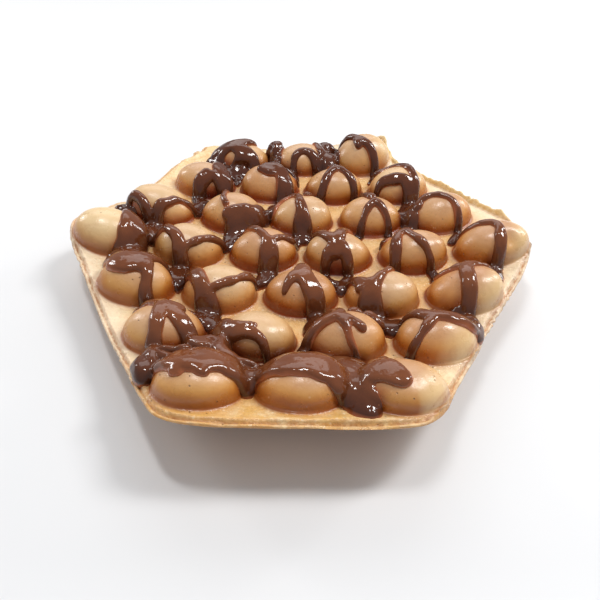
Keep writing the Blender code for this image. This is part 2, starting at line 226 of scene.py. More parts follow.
print("a test line of 10 mm gives", len(even_path([(0, 0), (10, 0)], 1.0)), "points")

# %% [markdown]
# The sheet ends where the pan's halves pinched it, in six rounded sides that bulge a little past
# the outer eggs. A regular hexagon would look cut out. A few corner points are easy to read and to
# correct. They start at the right and go round by the back, the left and the front.

# %% The outline of the sheet
RIM_POINTS = (
    (97.6, 4), (92, 27), (73, 56.5), (62, 68.5), (56.5, 77), (50.5, 83), (47.5, 90),
    (42, 101), (10, 100.5), (-20, 101), (-48, 102),
    (-56, 97), (-66, 78), (-76, 47), (-88, 25), (-97.5, 11),
    (-96.2, -5), (-85, -26), (-68, -57), (-50, -87),
    (-41, -98), (-25, -101), (5, -100.5), (30, -99.5),
    (41, -94.5), (52.5, -76.5), (68, -51), (85.5, -25.5), (95.5, -7),
)
RIM_SPACING = 1.3

rim = even_path(RIM_POINTS, RIM_SPACING, closed=True)
middle = (rim.min(axis=0) + rim.max(axis=0)) / 2
print("edge of the sheet:", len(rim), "points, size", np.round(rim.max(axis=0) - rim.min(axis=0), 1), "mm")

# %% [markdown]
# Three questions about places in plan come up in many of the steps that follow: is a place clear
# of the eggs, is it inside a line, and how far from the sheet's edge is it. Each one is answered
# for a whole list of places at once, which is much faster than one place after another.


# %% Three questions about places in plan
FAR_AWAY = 1e9


def outside_eggs(points, scale):
    """Which points in plan are clear of every egg, drawn larger by a scale."""
    clear = np.ones(len(points), bool)
    for egg in eggs:
        clear &= egg_share(egg, points[:, 0], points[:, 1]) > scale ** 2
    return clear


def inside_loop(points, loop):
    """Which points in plan are inside a closed loop, by counting crossings."""
    inside = np.zeros(len(points), bool)
    x, y = points[:, 0], points[:, 1]
    for (x0, y0), (x1, y1) in zip(loop[:, :2], np.roll(loop[:, :2], -1, axis=0)):
        if y0 != y1:
            inside ^= ((y0 > y) != (y1 > y)) & (x < (x1 - x0) * (y - y0) / (y1 - y0) + x0)
    return inside


def edge_distance(x, y):
    """Distance to the sheet's edge, and which point of the edge is the nearest."""
    distance = np.full(np.shape(x), FAR_AWAY)
    nearest = np.zeros(np.shape(x), int)
    for k, point in enumerate(rim):
        away = np.hypot(x - point[0], y - point[1])
        closer = away < distance
        distance[closer] = away[closer]
        nearest[closer] = k
    return distance, nearest


to_edge, _ = edge_distance(np.zeros(1), np.zeros(1))
print("from the middle to the edge:", round(float(to_edge[0]), 1), "mm")

# %% [markdown]
# Parts of the edge broke into crumbs when the waffle came off the iron. Loose crumbs would be
# separate pieces, so the breaks are drawn as a ragged line instead: the edge moves in a little,
# more where it is frayed, and never where an egg is close. Each frayed place has a reach and a
# depth.

# %% Draw the edge in, and fray it in places
RIM_INSET = 0.62
EGG_CLEARANCE = 1.6
FRAY_STEEPNESS = 1.6
ROOM_WINDOW = 9
MOST_TORN = 1.3
FRAYED_PLACES = (
    (77, -38, 22, 1.4),
    (-93, -16, 16, 0.6),
    (-60, -72, 16, 0.6),
    (-58, 92, 20, 1.6),
    (-80, 38, 14, 0.9),
    (55, 78, 14, 0.9),
    (86, 38, 16, 0.7),
)

ahead = np.roll(rim, -1, axis=0) - np.roll(rim, 1, axis=0)
ahead /= np.linalg.norm(ahead, axis=1)[:, None]
inward = np.stack([-ahead[:, 1], ahead[:, 0]], 1)
room = outside_eggs(rim, 1 + EGG_CLEARANCE / EGG_HALF_LENGTH)
half = ROOM_WINDOW // 2
room = np.concatenate([room[-half:], room, room[:half]])
room = np.convolve(room, np.ones(ROOM_WINDOW) / ROOM_WINDOW, "valid")
frayed = np.zeros(len(rim))
for place_x, place_y, reach, depth in FRAYED_PLACES:
    near = np.hypot(rim[:, 0] - place_x, rim[:, 1] - place_y) / reach
    frayed = np.maximum(frayed, depth * np.clip(FRAY_STEEPNESS * (1 - near), 0, 1))
crumbs = 0.5 + 0.5 * lumps(rim[:, 0], rim[:, 1], size=4.2, seed=61)
crumbs = crumbs + 0.35 * lumps(rim[:, 0], rim[:, 1], size=2.6, seed=62)
torn = frayed * np.clip(crumbs, 0, MOST_TORN)
rim = rim + inward * (RIM_INSET * room + torn * room)[:, None]
print("edge drawn in by", RIM_INSET, "mm, and torn by up to", round(float(torn.max()), 2), "mm")

# %% [markdown]
# The batter could be spheres joined to a plate with boolean modifiers, but a join like that leaves
# long thin faces, and they spoil the soft shine on the domes. Instead each dome is made of its own
# rings, and the sheet between them is one triangulation in plan that has the rings' outer loops
# as fixed edges. Every face is then well shaped, and the meeting line stays crisp. An egg isn't
# quite oval either: two slow waves and a slight lean make each one a little different.

# %% Rings of one dome
AROUND = 52
TOP_LEVELS = 15
OVAL_WAVE = 0.018
TRIANGLE_WAVE = 0.012
LEAN = 0.018
FOOT = 1.15


def dome_ring(egg, turn, angle, phase, wave, tilt_x, tilt_y):
    """One ring of a dome, at an angle from its crown, with this egg's own unevenness."""
    length = np.where(np.cos(turn) > 0, egg["right"], EGG_HALF_LENGTH)
    share = math.sin(angle)
    bulge = share * (1 - share) * 4
    swell = 1 + OVAL_WAVE * bulge * np.sin(2 * turn + 3 * phase) \
        + TRIANGLE_WAVE * bulge * np.sin(3 * turn + 3 * wave)
    x = length * share * np.cos(turn) * swell
    y = EGG_HALF_WIDTH * share * np.sin(turn) * swell
    z = egg["crown"] * math.cos(angle) * (1 + LEAN * (tilt_x * x + tilt_y * y) * share)
    for dent_x, dent_y, reach, depth in DENTS:
        away = np.hypot(egg["x"] + x - dent_x, egg["y"] + y - dent_y) / reach
        z = z - depth * np.exp(-away ** 2)
    return np.stack([egg["x"] + x, egg["y"] + y, np.maximum(z, FOOT)], 1)


halfway = dome_ring(eggs[0], np.zeros(1), math.pi / 4, 0, 0, 0, 0)[0]
print("halfway down the first dome, on its right:", np.round(halfway, 1).tolist())

# %% [markdown]
# Where a dome meets the sheet, the batter leaves a small soft fillet. A bevel modifier would round
# every other edge too, so the fillet is four more rings that flatten out into the sheet. Beside
# the edge there is no room for it, and there the rings are pulled in.

# %% The fillet at a dome's foot
FILLET = ((1.0, FOOT), (1.028, 0.55), (1.058, 0.18), (1.09, 0.0))
LEAST_ROOM = 0.5
FILLET_PULL = 0.03
DOME_SEED = 100


def fillet_ring(egg, turn, scale, height):
    """One ring of the fillet, pulled in where it would come too close to the edge."""
    length = np.where(np.cos(turn) > 0, egg["right"], EGG_HALF_LENGTH)
    centre = np.array((egg["x"], egg["y"]))
    ring = np.stack([egg["x"] + length * scale * np.cos(turn),
                     egg["y"] + EGG_HALF_WIDTH * scale * np.sin(turn),
                     np.full(len(turn), height)], 1)
    distance, _ = edge_distance(ring[:, 0], ring[:, 1])
    tight = ~inside_loop(ring, rim) | (distance < LEAST_ROOM)
    pulled = (1 - FILLET_PULL + FILLET_PULL * scale) / scale
    ring[tight, :2] = centre + (ring[tight, :2] - centre) * pulled
    return ring


def dome_rings(egg, number, levels, around):
    """Rings of the upper dome, from the crown down to the little fillet on the sheet."""
    chance = random.Random(DOME_SEED + number)
    phase, wave, tilt_x, tilt_y = (chance.uniform(-1, 1) for _ in range(4))
    turn = np.arange(around) / around * math.tau
    rings = []
    for level in range(levels):
        rings.append(dome_ring(egg, turn, level / levels * math.pi / 2, phase, wave, tilt_x, tilt_y))
    for scale, height in FILLET:
        rings.append(fillet_ring(egg, turn, scale, height))
    return rings


print("one dome has", len(dome_rings(eggs[0], 0, TOP_LEVELS, AROUND)), "rings of", AROUND, "points")

# %% [markdown]
# The underside isn't in the photograph. The lower half of such a pan has the same cups, so each
# egg gets a shallower belly, which is the side the waffle rests on.

# %% Rings of one belly
BELLY_LEVELS = 8
BELLY_SCALE = math.sqrt(1 - (WEB_THICKNESS / EGG_BELLY) ** 2)


def belly_rings(egg, around):
    """Rings of the shallower dome under the sheet, from its lowest point up."""
    turn = np.arange(around) / around * math.tau
    rings = []
    for level in range(BELLY_LEVELS + 1):
        angle = level / BELLY_LEVELS * math.acos(WEB_THICKNESS / EGG_BELLY)
        share = math.sin(angle)
        rings.append(np.stack([egg["x"] + EGG_HALF_LENGTH * share * np.cos(turn),
                               egg["y"] + EGG_HALF_WIDTH * share * np.sin(turn),
                               np.full(around, -EGG_BELLY * math.cos(angle))], 1))
    return rings


print("a belly is", round(BELLY_SCALE * EGG_HALF_LENGTH * 2, 1), "mm long where it meets the sheet")

# %% [markdown]
# A mesh is made from a list of points and a list of faces. A small class collects both for domes,
# bellies and sheet, so that they end up as one closed mesh. With each point it keeps how high it
# is on its dome and whether it is on the underside, because the finish reads these later.


# %% A collector of points and faces
class Builder:
    """Collects points and faces, with how high on its dome and on which side each point is."""

    def __init__(self):
        self.points = []
        self.faces = []
        self.crowns = []
        self.unders = []

    def add(self, points, crown, under):
        start = len(self.points)
        for point, high in zip(points, np.broadcast_to(crown, len(points))):
            self.points.append(tuple(point))
            self.crowns.append(float(high))
            self.unders.append(under)
        return list(range(start, len(self.points)))

    def strip(self, first, second):
        for k in range(len(first)):
            n = (k + 1) % len(first)
            self.faces.append((first[k], first[n], second[n], second[k]))

    def stack(self, rows):
        for first, second in zip(rows, rows[1:]):
            self.strip(first, second)

    def fan(self, ring):
        self.faces.append(tuple(ring))


trial = Builder()
trial.strip(trial.add(dome_ring(eggs[0], np.arange(3.0), 1, 0, 0, 0, 0), 0.5, 0.0),
            trial.add(dome_ring(eggs[0], np.arange(3.0), 1.2, 0, 0, 0, 0), 0.3, 0.0))
print("two rings of 3 points make", len(trial.faces), "faces between", len(trial.points), "points")

# %% [markdown]
# Each egg gives the collector its dome and its belly. The outermost ring of either is kept, because
# the sheet has to meet it point by point.

# %% Collect the domes and the bellies
batter = Builder()
top_loops, under_loops = [], []
for number, egg in enumerate(eggs):
    rings = dome_rings(egg, number, TOP_LEVELS, AROUND)
    rows = [batter.add(ring, ring[:, 2] / egg["crown"], 0.0) for ring in rings[1:]]
    batter.stack(rows)
    batter.fan(rows[0])
    top_loops.append(rings[-1])
    rings = belly_rings(egg, AROUND)
    rows = []
    for ring in rings[1:]:
        low = -(ring[:, 2] + WEB_THICKNESS) / (EGG_BELLY - WEB_THICKNESS)
        rows.append(batter.add(ring, low, 1.0))
    batter.stack(rows[::-1])
    batter.fan(rows[0][::-1])
    under_loops.append(rings[-1])
print("domes and bellies:", len(batter.faces), "faces")

# %% [markdown]
# The sheet's edge shows where the two halves of the pan met: the upper crust ends in a small
# lip, a groove runs below it, and a thin flash of batter sticks out under the groove. A profile
# could be swept along the edge, but it would have to be joined to the sheet. The height of the
# sheet is a function of how far a place is from the edge instead, so the same points carry both.

# %% Profile of the plain edge, from the outside in
EDGE_DISTANCE = (0.0, 0.35, 0.8, 1.15, 1.55, 1.95, 2.4, 3.1, 4.2, 6.0, 9.0)
EDGE_HEIGHT = (-1.6, -1.05, -0.95, -1.45, -1.35, -0.3, 0.3, 0.4, 0.12, 0.0, 0.0)

waver = 1 + 0.3 * lumps(rim[:, 0], rim[:, 1], size=17.0, seed=8)
print("lip", max(EDGE_HEIGHT), "mm over the sheet, flash", -EDGE_HEIGHT[0], "mm under it")

# %% [markdown]
# On the back right side the flash stands up as a thin golden blade with a ragged top and a tip at
# each end. It has a profile of its own, which takes the place of the plain one along that side,
# and fades out at both ends. A tip has a height, a place along the side and a width.

# %% The standing blade on the back right side
BLADE_HEIGHT = (-0.2, 0.6, 0.5, -0.3, -1.2, -1.5, -1.5, -1.3, -1.0, -0.6, 0.0)
BLADE_FROM, BLADE_TO = (94.0, 24.0), (45.0, 101.0)
BLADE_REACH = 16
BLADE_STARTS, BLADE_ENDS = -0.08, 1.05
BLADE_FADE = 9
TIPS = ((1.3, 0.03, 0.035), (1.5, 0.97, 0.03))

side = np.subtract(BLADE_TO, BLADE_FROM)
along_side = (rim - BLADE_FROM) @ side / (side @ side)
off_side = np.abs((rim - BLADE_FROM) @ np.array([-side[1], side[0]]) / np.linalg.norm(side))
from_ends = np.minimum(along_side - BLADE_STARTS, BLADE_ENDS - along_side)
blade = np.clip(from_ends * BLADE_FADE, 0, 1) * (off_side < BLADE_REACH)
ragged = 0.45 * lumps(rim[:, 0], rim[:, 1], size=8.0, seed=5)
ragged = ragged + 0.35 * lumps(rim[:, 0], rim[:, 1], size=3.4, seed=6)
for tip_height, tip_place, tip_width in TIPS:
    ragged = ragged + tip_height * np.exp(-((along_side - tip_place) / tip_width) ** 2)
print("the blade runs along", int((blade > 0.5).sum()), "of", len(rim), "edge points")

# %% [markdown]
# Both profiles meet in one function, which gives the height of the sheet anywhere. Away from the
# edge it adds a slow relief of three sizes, as the iron was never quite flat. Each has a depth, a
# size and a seed.


# %% Height of the sheet
RELIEF = ((0.16, 13.0, 3), (0.10, 5.5, 13), (0.05, 3.2, 14))
RAGGED_WIDTH = 1.6
CALM_WIDTH = 5.0


def sheet_height(x, y, distance, nearest):
    """Height of the sheet's upper face, away from the eggs."""
    plain = np.interp(distance, EDGE_DISTANCE, EDGE_HEIGHT) * waver[nearest]
    standing = np.interp(distance, EDGE_DISTANCE, BLADE_HEIGHT)
    standing = standing + ragged[nearest] * np.clip(1 - distance / RAGGED_WIDTH, 0, 1)
    share = blade[nearest]
    calm = np.clip(distance / CALM_WIDTH, 0, 1)
    relief = sum(depth * lumps(x, y, size, seed) for depth, size, seed in RELIEF)
    return plain * (1 - share) + standing * share + relief * calm


test_x, test_y = np.array([0.0, 16.0]), np.array([14.0, 14.0])
test_height = sheet_height(test_x, test_y, *edge_distance(test_x, test_y))
print("the sheet rolls gently:", np.round(test_height, 2), "mm")

# %% [markdown]
# The sheet is one triangulation in plan. Its fixed edges are the outline and the thirty loops, its
# free points are rows that follow the edge, where the profile needs them, and a plain triangular
# grid everywhere else. A ready-made function, delaunay_2d_cdt, makes the triangles.


# %% Free points between the edge and the loops
ROW_SHARE = 0.866
LOOP_CLEARANCE = 0.035
EDGE_CLEARANCE = 0.35
GRID_CLEARANCE = 0.5
SAME_POINT = 1e-5


def free_points(scale, spacing, insets):
    """Rows of points that follow the edge, then a triangular grid, all clear of the eggs."""
    rows = [rim + inward * inset for inset in insets]
    edge_count = len(insets) * len(rim)
    xs = np.arange(rim[:, 0].min(), rim[:, 0].max(), spacing)
    ys = np.arange(rim[:, 1].min(), rim[:, 1].max(), spacing * ROW_SHARE)
    for k, y in enumerate(ys):
        rows.append(np.stack([xs + (k % 2) * spacing / 2, np.full(len(xs), y)], 1))
    free = np.vstack(rows)
    distance, _ = edge_distance(free[:, 0], free[:, 1])
    keep = inside_loop(free, rim) & outside_eggs(free, scale + LOOP_CLEARANCE)
    keep[:edge_count] &= distance[:edge_count] > EDGE_CLEARANCE
    keep[edge_count:] &= distance[edge_count:] > max(insets) + spacing * GRID_CLEARANCE
    return free[keep]


def triangulate_sheet(loops, scale, spacing, insets):
    """Plan triangles between the edge and the eggs' loops, with points to bend at."""
    chains = [rim] + [loop[:, :2] for loop in loops]
    edges = []
    start = 0
    for chain in chains:
        count = len(chain)
        edges += [(start + k, start + (k + 1) % count) for k in range(count)]
        start += count
    flat = [Vector(point) for point in np.vstack(chains + [free_points(scale, spacing, insets)])]
    found, _, faces, *_ = delaunay_2d_cdt(flat, edges, [], 0, SAME_POINT)
    found = np.array([tuple(point) for point in found])
    faces = np.array([tuple(face) for face in faces])
    centres = found[faces].mean(axis=1)
    good = inside_loop(centres, rim)
    for loop in loops:
        good &= ~inside_loop(centres, loop)
    return found, faces[good]


print("free points at 3 mm:", len(free_points(FILLET[-1][0], 3.0, (1.0, 3.0))))

# %% [markdown]
# The upper face gets small triangles, because it is seen, and the lower one larger ones. Each point
# takes its height from the profile, or from the ring that it meets. A strip of faces round the
# edge closes the two to one body.


# %% Add the two faces of the sheet
WEB_SPACING = 1.35
UNDER_SPACING = 3.0
UNDER_INSETS = (1.0, 3.0)
UNDER_DISTANCE = (0.0, 1.0, 3.0)
UNDER_RISE = (0.9, 0.3, 0.0)


def closest(plan, point):
    return int(np.argmin(np.hypot(plan[:, 0] - point[0], plan[:, 1] - point[1])))


def add_sheet(loops, scale, spacing, insets, upper):
    """Adds one face of the sheet to the batter, and gives the points along its edge."""
    plan, faces = triangulate_sheet(loops, scale, spacing, insets)
    distance, nearest = edge_distance(plan[:, 0], plan[:, 1])
    if upper:
        height = sheet_height(plan[:, 0], plan[:, 1], distance, nearest)
    else:
        height = -WEB_THICKNESS + 0.12 * lumps(plan[:, 0], plan[:, 1], size=15.0, seed=4)
        height += np.interp(distance, UNDER_DISTANCE, UNDER_RISE)
    for loop in loops:
        for point in loop:
            height[closest(plan, point)] = point[2]
    kept = batter.add(np.column_stack([plan, height]), 0.0, 0.0 if upper else 1.0)
    for face in faces:
        corners = [kept[k] for k in face]
        batter.faces.append(tuple(corners if upper else corners[::-1]))
    return [kept[closest(plan, point)] for point in rim]


upper_edge = add_sheet(top_loops, FILLET[-1][0], WEB_SPACING, EDGE_DISTANCE[1:-2], True)
lower_edge = add_sheet(under_loops, BELLY_SCALE, UNDER_SPACING, UNDER_INSETS, False)
batter.strip(lower_edge, upper_edge)
print("batter so far:", len(batter.points), "points,", len(batter.faces), "faces")

# %% [markdown]
# Now the points leave the pan: they are curled, centred on the table and turned into metres. The
# highest crowns are eased down a little, because the construction box is the limit, and a crown
# that is a tenth of a millimetre lower can't be seen.

# %% From millimetres in the pan to a mesh on the table
LOWEST = 0.02
EASE_FROM = 28.0
EASE_KEEP = 0.85


def make_mesh(name, points, faces):
    """An object from points in millimetres over the web's level, curled and placed."""
    points = np.array(points, float)
    lifted = points[:, 2] + WEB_LEVEL + curl(points[:, 0], points[:, 1])
    placed = np.stack([points[:, 0] - middle[0], points[:, 1] - middle[1], np.maximum(lifted, LOWEST)], 1)
    mesh = bpy.data.meshes.new(name)
    mesh.from_pydata((placed * MM).tolist(), [], faces)
    item = bpy.data.objects.new(name, mesh)
    bpy.context.scene.collection.objects.link(item)
    return item


def pan_points(item):
    """The object's points in the pan's own millimetres, and their height over the web."""
    found = np.empty(len(item.data.vertices) * 3)
    item.data.vertices.foreach_get("co", found)
    found = found.reshape(-1, 3) / MM + (middle[0], middle[1], -WEB_LEVEL)
    found[:, 2] -= curl(found[:, 0], found[:, 1])
    return found


def keep_low(item):
    """Eases the heights over a level so that the highest crown stays in the construction box."""
    for point in item.data.vertices:
        over = point.co.z - EASE_FROM * MM
        if over > 0:
            point.co.z -= over * (1 - EASE_KEEP)


waffle = make_mesh("baked_batter", batter.points, batter.faces)
keep_low(waffle)
print(waffle.name, "is", np.round(np.array(waffle.dimensions) / MM, 1), "mm")

# %% [markdown]
# The finish needs to know things about each point that a material can't work out: how far it is
# from the edge, how close to the foot of an egg, how pale its egg baked. They could be painted by
# hand as vertex colours. Here they are worked out and stored as named attributes on the points,
# which a material reads back by name.


# %% Store a number for every point
EDGE_WIDTH = 5.0
BLADE_WIDTH = 2.4
INNER_FROM, INNER_SPAN = 4, 22
GOLDEN_FROM, GOLDEN_SPAN = -78, 12


def store(item, name, values):
    """Keeps a number for each point of an object under a name that a material can read."""
    layer = item.data.attributes.new(name, "FLOAT", "POINT")
    layer.data.foreach_set("value", np.ascontiguousarray(values, np.float32))


plan = np.array(batter.points)
distance, nearest = edge_distance(plan[:, 0], plan[:, 1])
store(waffle, "crown", batter.crowns)
store(waffle, "under", batter.unders)
store(waffle, "edge", np.clip(1 - distance / EDGE_WIDTH, 0, 1))
store(waffle, "blade", np.clip(1 - distance / BLADE_WIDTH, 0, 1) * blade[nearest])
store(waffle, "inner", np.clip((distance - INNER_FROM) / INNER_SPAN, 0, 1))
store(waffle, "golden", np.clip((GOLDEN_FROM - plan[:, 1]) / GOLDEN_SPAN, 0, 1))
print("stored:", [layer.name for layer in waffle.data.attributes if layer.data_type == "FLOAT"])

# %% [markdown]
# The strip along the sides and the back stayed pale and floury. It fades out towards the front,
# where the edge baked golden, and at the back left corner.

# %% Where the sheet stayed floury
FLOURY_WIDTH, FLOURY_MOST = 12, 1.3
FLOURY_FRONT, FRONT_SPAN = -85, 20
FLOURY_CORNER, CORNER_SPAN = 130, 40

from_front = np.clip((plan[:, 1] - FLOURY_FRONT) / FRONT_SPAN, 0, 1)
from_corner = np.clip((FLOURY_CORNER + plan[:, 0] - plan[:, 1]) / CORNER_SPAN, 0, 1)
floury = np.clip(FLOURY_MOST - distance / FLOURY_WIDTH, 0, 1) * (from_front * from_corner)
store(waffle, "floury", floury)
print("floury points:", int((floury > 0.5).sum()), "of", len(plan))

# %% [markdown]
# Four more numbers tell the eggs apart. "ring" marks the foot of each one, toasted and also given
# a painted contact shade, "tone" says how pale it baked, with painted light added near the right
# edge, and "pale" is the side that faces the right edge, where painted light falls. "heart" is 1
# for eggs well inside the sheet, where the flanks are browner and also get painted shade from the
# close eggs round them, and 0 for all others.

# %% Foot, tone and place of the eggs
FOOT_RADIUS = 1.04
FOOT_WIDTH = 2.2
PALE_REACH = 13
HEART_START_LEFT, HEART_START_RIGHT = 18, 22
HEART_REACH = 14
EGG_AND_FILLET = 1.2
LIT_SIDE_TONE = 0.9

foot_distance = np.full(len(plan), FAR_AWAY)
tones = np.zeros(len(plan))
browned = np.ones(len(plan))
for egg in eggs:
    share = egg_share(egg, plan[:, 0], plan[:, 1])
    foot_distance = np.minimum(foot_distance, np.abs(np.sqrt(share) - FOOT_RADIUS) * EGG_HALF_WIDTH)
    tones = np.where(share <= EGG_AND_FILLET, egg["tone"], tones)
    browned = np.where(share <= EGG_AND_FILLET, egg["browned"], browned)
# painted light: the side of an egg that faces the right edge is made paler, as if lit from there
faces_right = np.clip(-1.6 * inward[nearest][:, 0] - 0.3, 0, 1)
lit_right_side = np.clip(1 - distance / PALE_REACH, 0, 1) * faces_right
heart_start = np.where(plan[:, 0] > 0, HEART_START_RIGHT, HEART_START_LEFT)
# ring: the foot of each egg, toasted and given a painted contact shade
store(waffle, "ring", np.clip(1 - foot_distance / FOOT_WIDTH, 0, 1))
store(waffle, "tone", np.clip(tones + LIT_SIDE_TONE * lit_right_side, -1, 1))
store(waffle, "pale", lit_right_side)
# heart: inner eggs, whose foot is painted darker, partly browning and partly painted shade
store(waffle, "heart", np.clip((distance - heart_start) / HEART_REACH, 0, 1) * browned)
print("points on pale eggs:", int((tones > 0.5).sum()), "of", len(plan))

# %% [markdown]
# Domes, bellies and sheet still only lie on each other at their loops. Points closer than a
# hundredth of a millimetre are merged, and then every edge has two faces: the batter is one closed
# skin, as a printed or milled copy would need. It stands for the waffle of the construction model.

# %% Close the batter and put it in the frame
MERGE_DISTANCE = 0.008

bm = bmesh.new()
bm.from_mesh(waffle.data)
bmesh.ops.remove_doubles(bm, verts=bm.verts, dist=MERGE_DISTANCE * MM)
bmesh.ops.recalc_face_normals(bm, faces=bm.faces)
print("batter:", len(bm.faces), "faces,", sum(not edge.is_manifold for edge in bm.edges), "open edges")
bm.to_mesh(waffle.data)
bm.free()
waffle.data.shade_smooth()
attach(waffle, "root")
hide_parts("waffle")

# %% [markdown]
# Sauce is a thick liquid that was poured in loops. It keeps a round bead at its borders, thins
# where it slides off a crown and fills the dips. It could be modelled as tubes, but tubes show
# their joins. Here each run is a line in plan with a half width at every point: a strand is a few
# narrow points and a pool a few wide ones. The runs are listed by the row of eggs they start on.

# %% Sauce on the two front rows: x, y and half width in millimetres
RUNS_FRONT_ROW = (
    ((-42, -78.5, 4.5), (-36, -79, 6.8), (-30, -79, 7.5), (-25, -78.5, 6.8), (-21, -79.5, 6.2),
     (-17.5, -82, 4.2), (-16.3, -84.2, 2.4)),
    ((-37.6, -85.8, 1.6), (-36.2, -86.4, 1.6)),
    ((-30.2, -86.4, 1.5), (-29, -86.6, 1.5)),
    ((-10, -78, 6), (-4, -78, 8), (2, -78, 9), (8, -79, 9), (13, -80, 7)),
    ((-6, -71, 5), (0, -67, 5.5), (6, -69, 5), (14, -72, 5), (22, -71, 4)),
    ((14, -76, 6), (16, -83, 5.5), (17, -88, 5), (19, -91.5, 4.3), (20.5, -93, 3.6)),
    ((8.8, -87.4, 1.7), (11, -88, 2.2)),
    ((16, -77, 6), (21, -80, 5.2), (25.3, -82.8, 4.6), (28.6, -85.8, 3.6), (29.8, -87, 2.9)),
    ((18, -71, 3), (23, -69.5, 2.6), (26, -72.5, 2.4)),
)
RUNS_SECOND_ROW = (
    ((-51, -48.5, 2.5), (-47, -51, 2.8), (-43, -52, 2.5)),
    ((-48.5, -52, 2.5), (-48.5, -58, 2.4), (-48.7, -65, 2.7), (-49, -70, 3.8), (-49.5, -74, 5),
     (-48.8, -78.2, 4.6)),
    ((-45, -53, 2.8), (-42, -56.5, 3), (-39, -60, 3), (-36, -64, 3.5), (-32, -67, 4)),
    ((-50, -71, 3), (-44, -73, 2.5), (-39, -73, 3)),
    ((-47, -69.7, 2.2), (-42, -69, 2.2), (-38, -69.5, 3)),
    ((-36, -65.5, 3), (-30, -63.5, 3.5)),
    ((-30, -53, 3), (-26.5, -57, 3.8), (-26.4, -62, 3.5), (-26.4, -68, 3.5), (-23, -73, 4)),
    ((-25, -58.5, 3), (-20, -59.8, 2.2), (-15.5, -59.2, 0.8)),
    ((-22, -61.3, 2.4), (-16.5, -62.2, 1.7), (-12.9, -64.3, 1.5), (-10.9, -67.5, 1.2), (-9.6, -72, 1.8)),
    ((-22, -73, 2.6), (-16, -73.4, 2.6), (-10, -74, 4)),
    ((1, -60, 2.3), (4, -56.5, 2.3), (8, -54.5, 2), (12, -53, 2.2), (13, -51, 2.5)),
    ((13.5, -54, 2), (15, -57.5, 1.5), (16.5, -62.3, 1.0), (18.5, -65.5, 1.1), (19.5, -68, 1.8)),
    ((14, -54, 2), (17, -55.5, 1.6), (19.5, -57.5, 1.7), (20.5, -58.5, 1.6)),
    ((9, -43, 3), (11, -47, 2.8), (13, -51, 2.6)),
    ((37, -43.5, 3), (40.5, -49, 2.4), (43.5, -52.3, 2.3), (48.5, -53.5, 2.4), (54, -54, 2.8),
     (59, -53, 3.3), (63, -49.5, 3), (62.5, -53.5, 2.5)),
    ((46, -54, 2), (43.3, -57, 1.7), (40.1, -61, 1.4), (37.7, -63.4, 1.4), (35.5, -66.5, 2)),
)
print("front rows:", len(RUNS_FRONT_ROW) + len(RUNS_SECOND_ROW), "runs")

# %% Sauce on the third and the middle row
RUNS_THIRD_ROW = (
    ((-73.8, -21.5, 3.6), (-67.5, -24, 6), (-62, -22, 5.5), (-57, -18, 3.5), (-53, -17, 3)),
    ((-71, -28, 3), (-66, -29.5, 3.6), (-60.5, -28.5, 3)),
    ((-58.3, -27, 2.3), (-57.6, -33, 1.9), (-57.6, -38.5, 2.6), (-56, -44, 4), (-50, -47, 3)),
    ((-56, -44, 3), (-59, -48, 1.3)),
    ((-47, -17, 3), (-43, -22, 3), (-40, -28, 2.9), (-37.4, -34, 2.9), (-35.6, -39, 4.4), (-34, -44, 4.5),
     (-31, -49, 3)),
    ((-37, -36.5, 2.5), (-33.5, -35.2, 1.5), (-29, -33.2, 1.5), (-24.6, -30.4, 1.5), (-20.6, -25.5, 1.6),
     (-18.6, -21, 2)),
    ((-38, -44, 4), (-33, -40, 3)),
    ((0, -20, 2.3), (0.3, -24.5, 3.1), (0.3, -29.3, 3.8)),
    ((-2.4, -28.5, 2.4), (-4.6, -31.5, 1.8), (-6.4, -34.8, 0.8)),
    ((1.5, -29.5, 3.4), (3.8, -33.8, 3.7), (5.7, -38, 3.6), (6.5, -43, 4), (3.5, -47, 2.5),
     (2, -49.5, 1.5)),
    ((23, -30.8, 2), (26.5, -31, 3.2), (26, -36, 4.2), (27, -41, 4.5), (31, -45, 4), (33.5, -49, 2)),
    ((17.5, -19.5, 2.2), (20, -22.5, 1.8), (22.5, -27, 2), (25, -31, 3)),
    ((31, -45, 3.5), (37, -43.5, 3)),
    ((25, -42, 3), (19, -46, 2)),
    ((24, -48, 2), (28, -51, 1.8)),
    ((54, -21.5, 1.2), (59, -22.5, 1.4), (64, -22, 1.8), (70, -21.5, 1.4), (75, -19.5, 1.6)),
    ((64, -22.5, 2.5), (63, -27, 2.8), (62.8, -34, 2.8), (62.5, -41, 3), (62, -46, 4)),
    ((62, -39.5, 2.5), (57.5, -40, 2), (53, -41, 1.8), (48, -44, 2.2)),
)
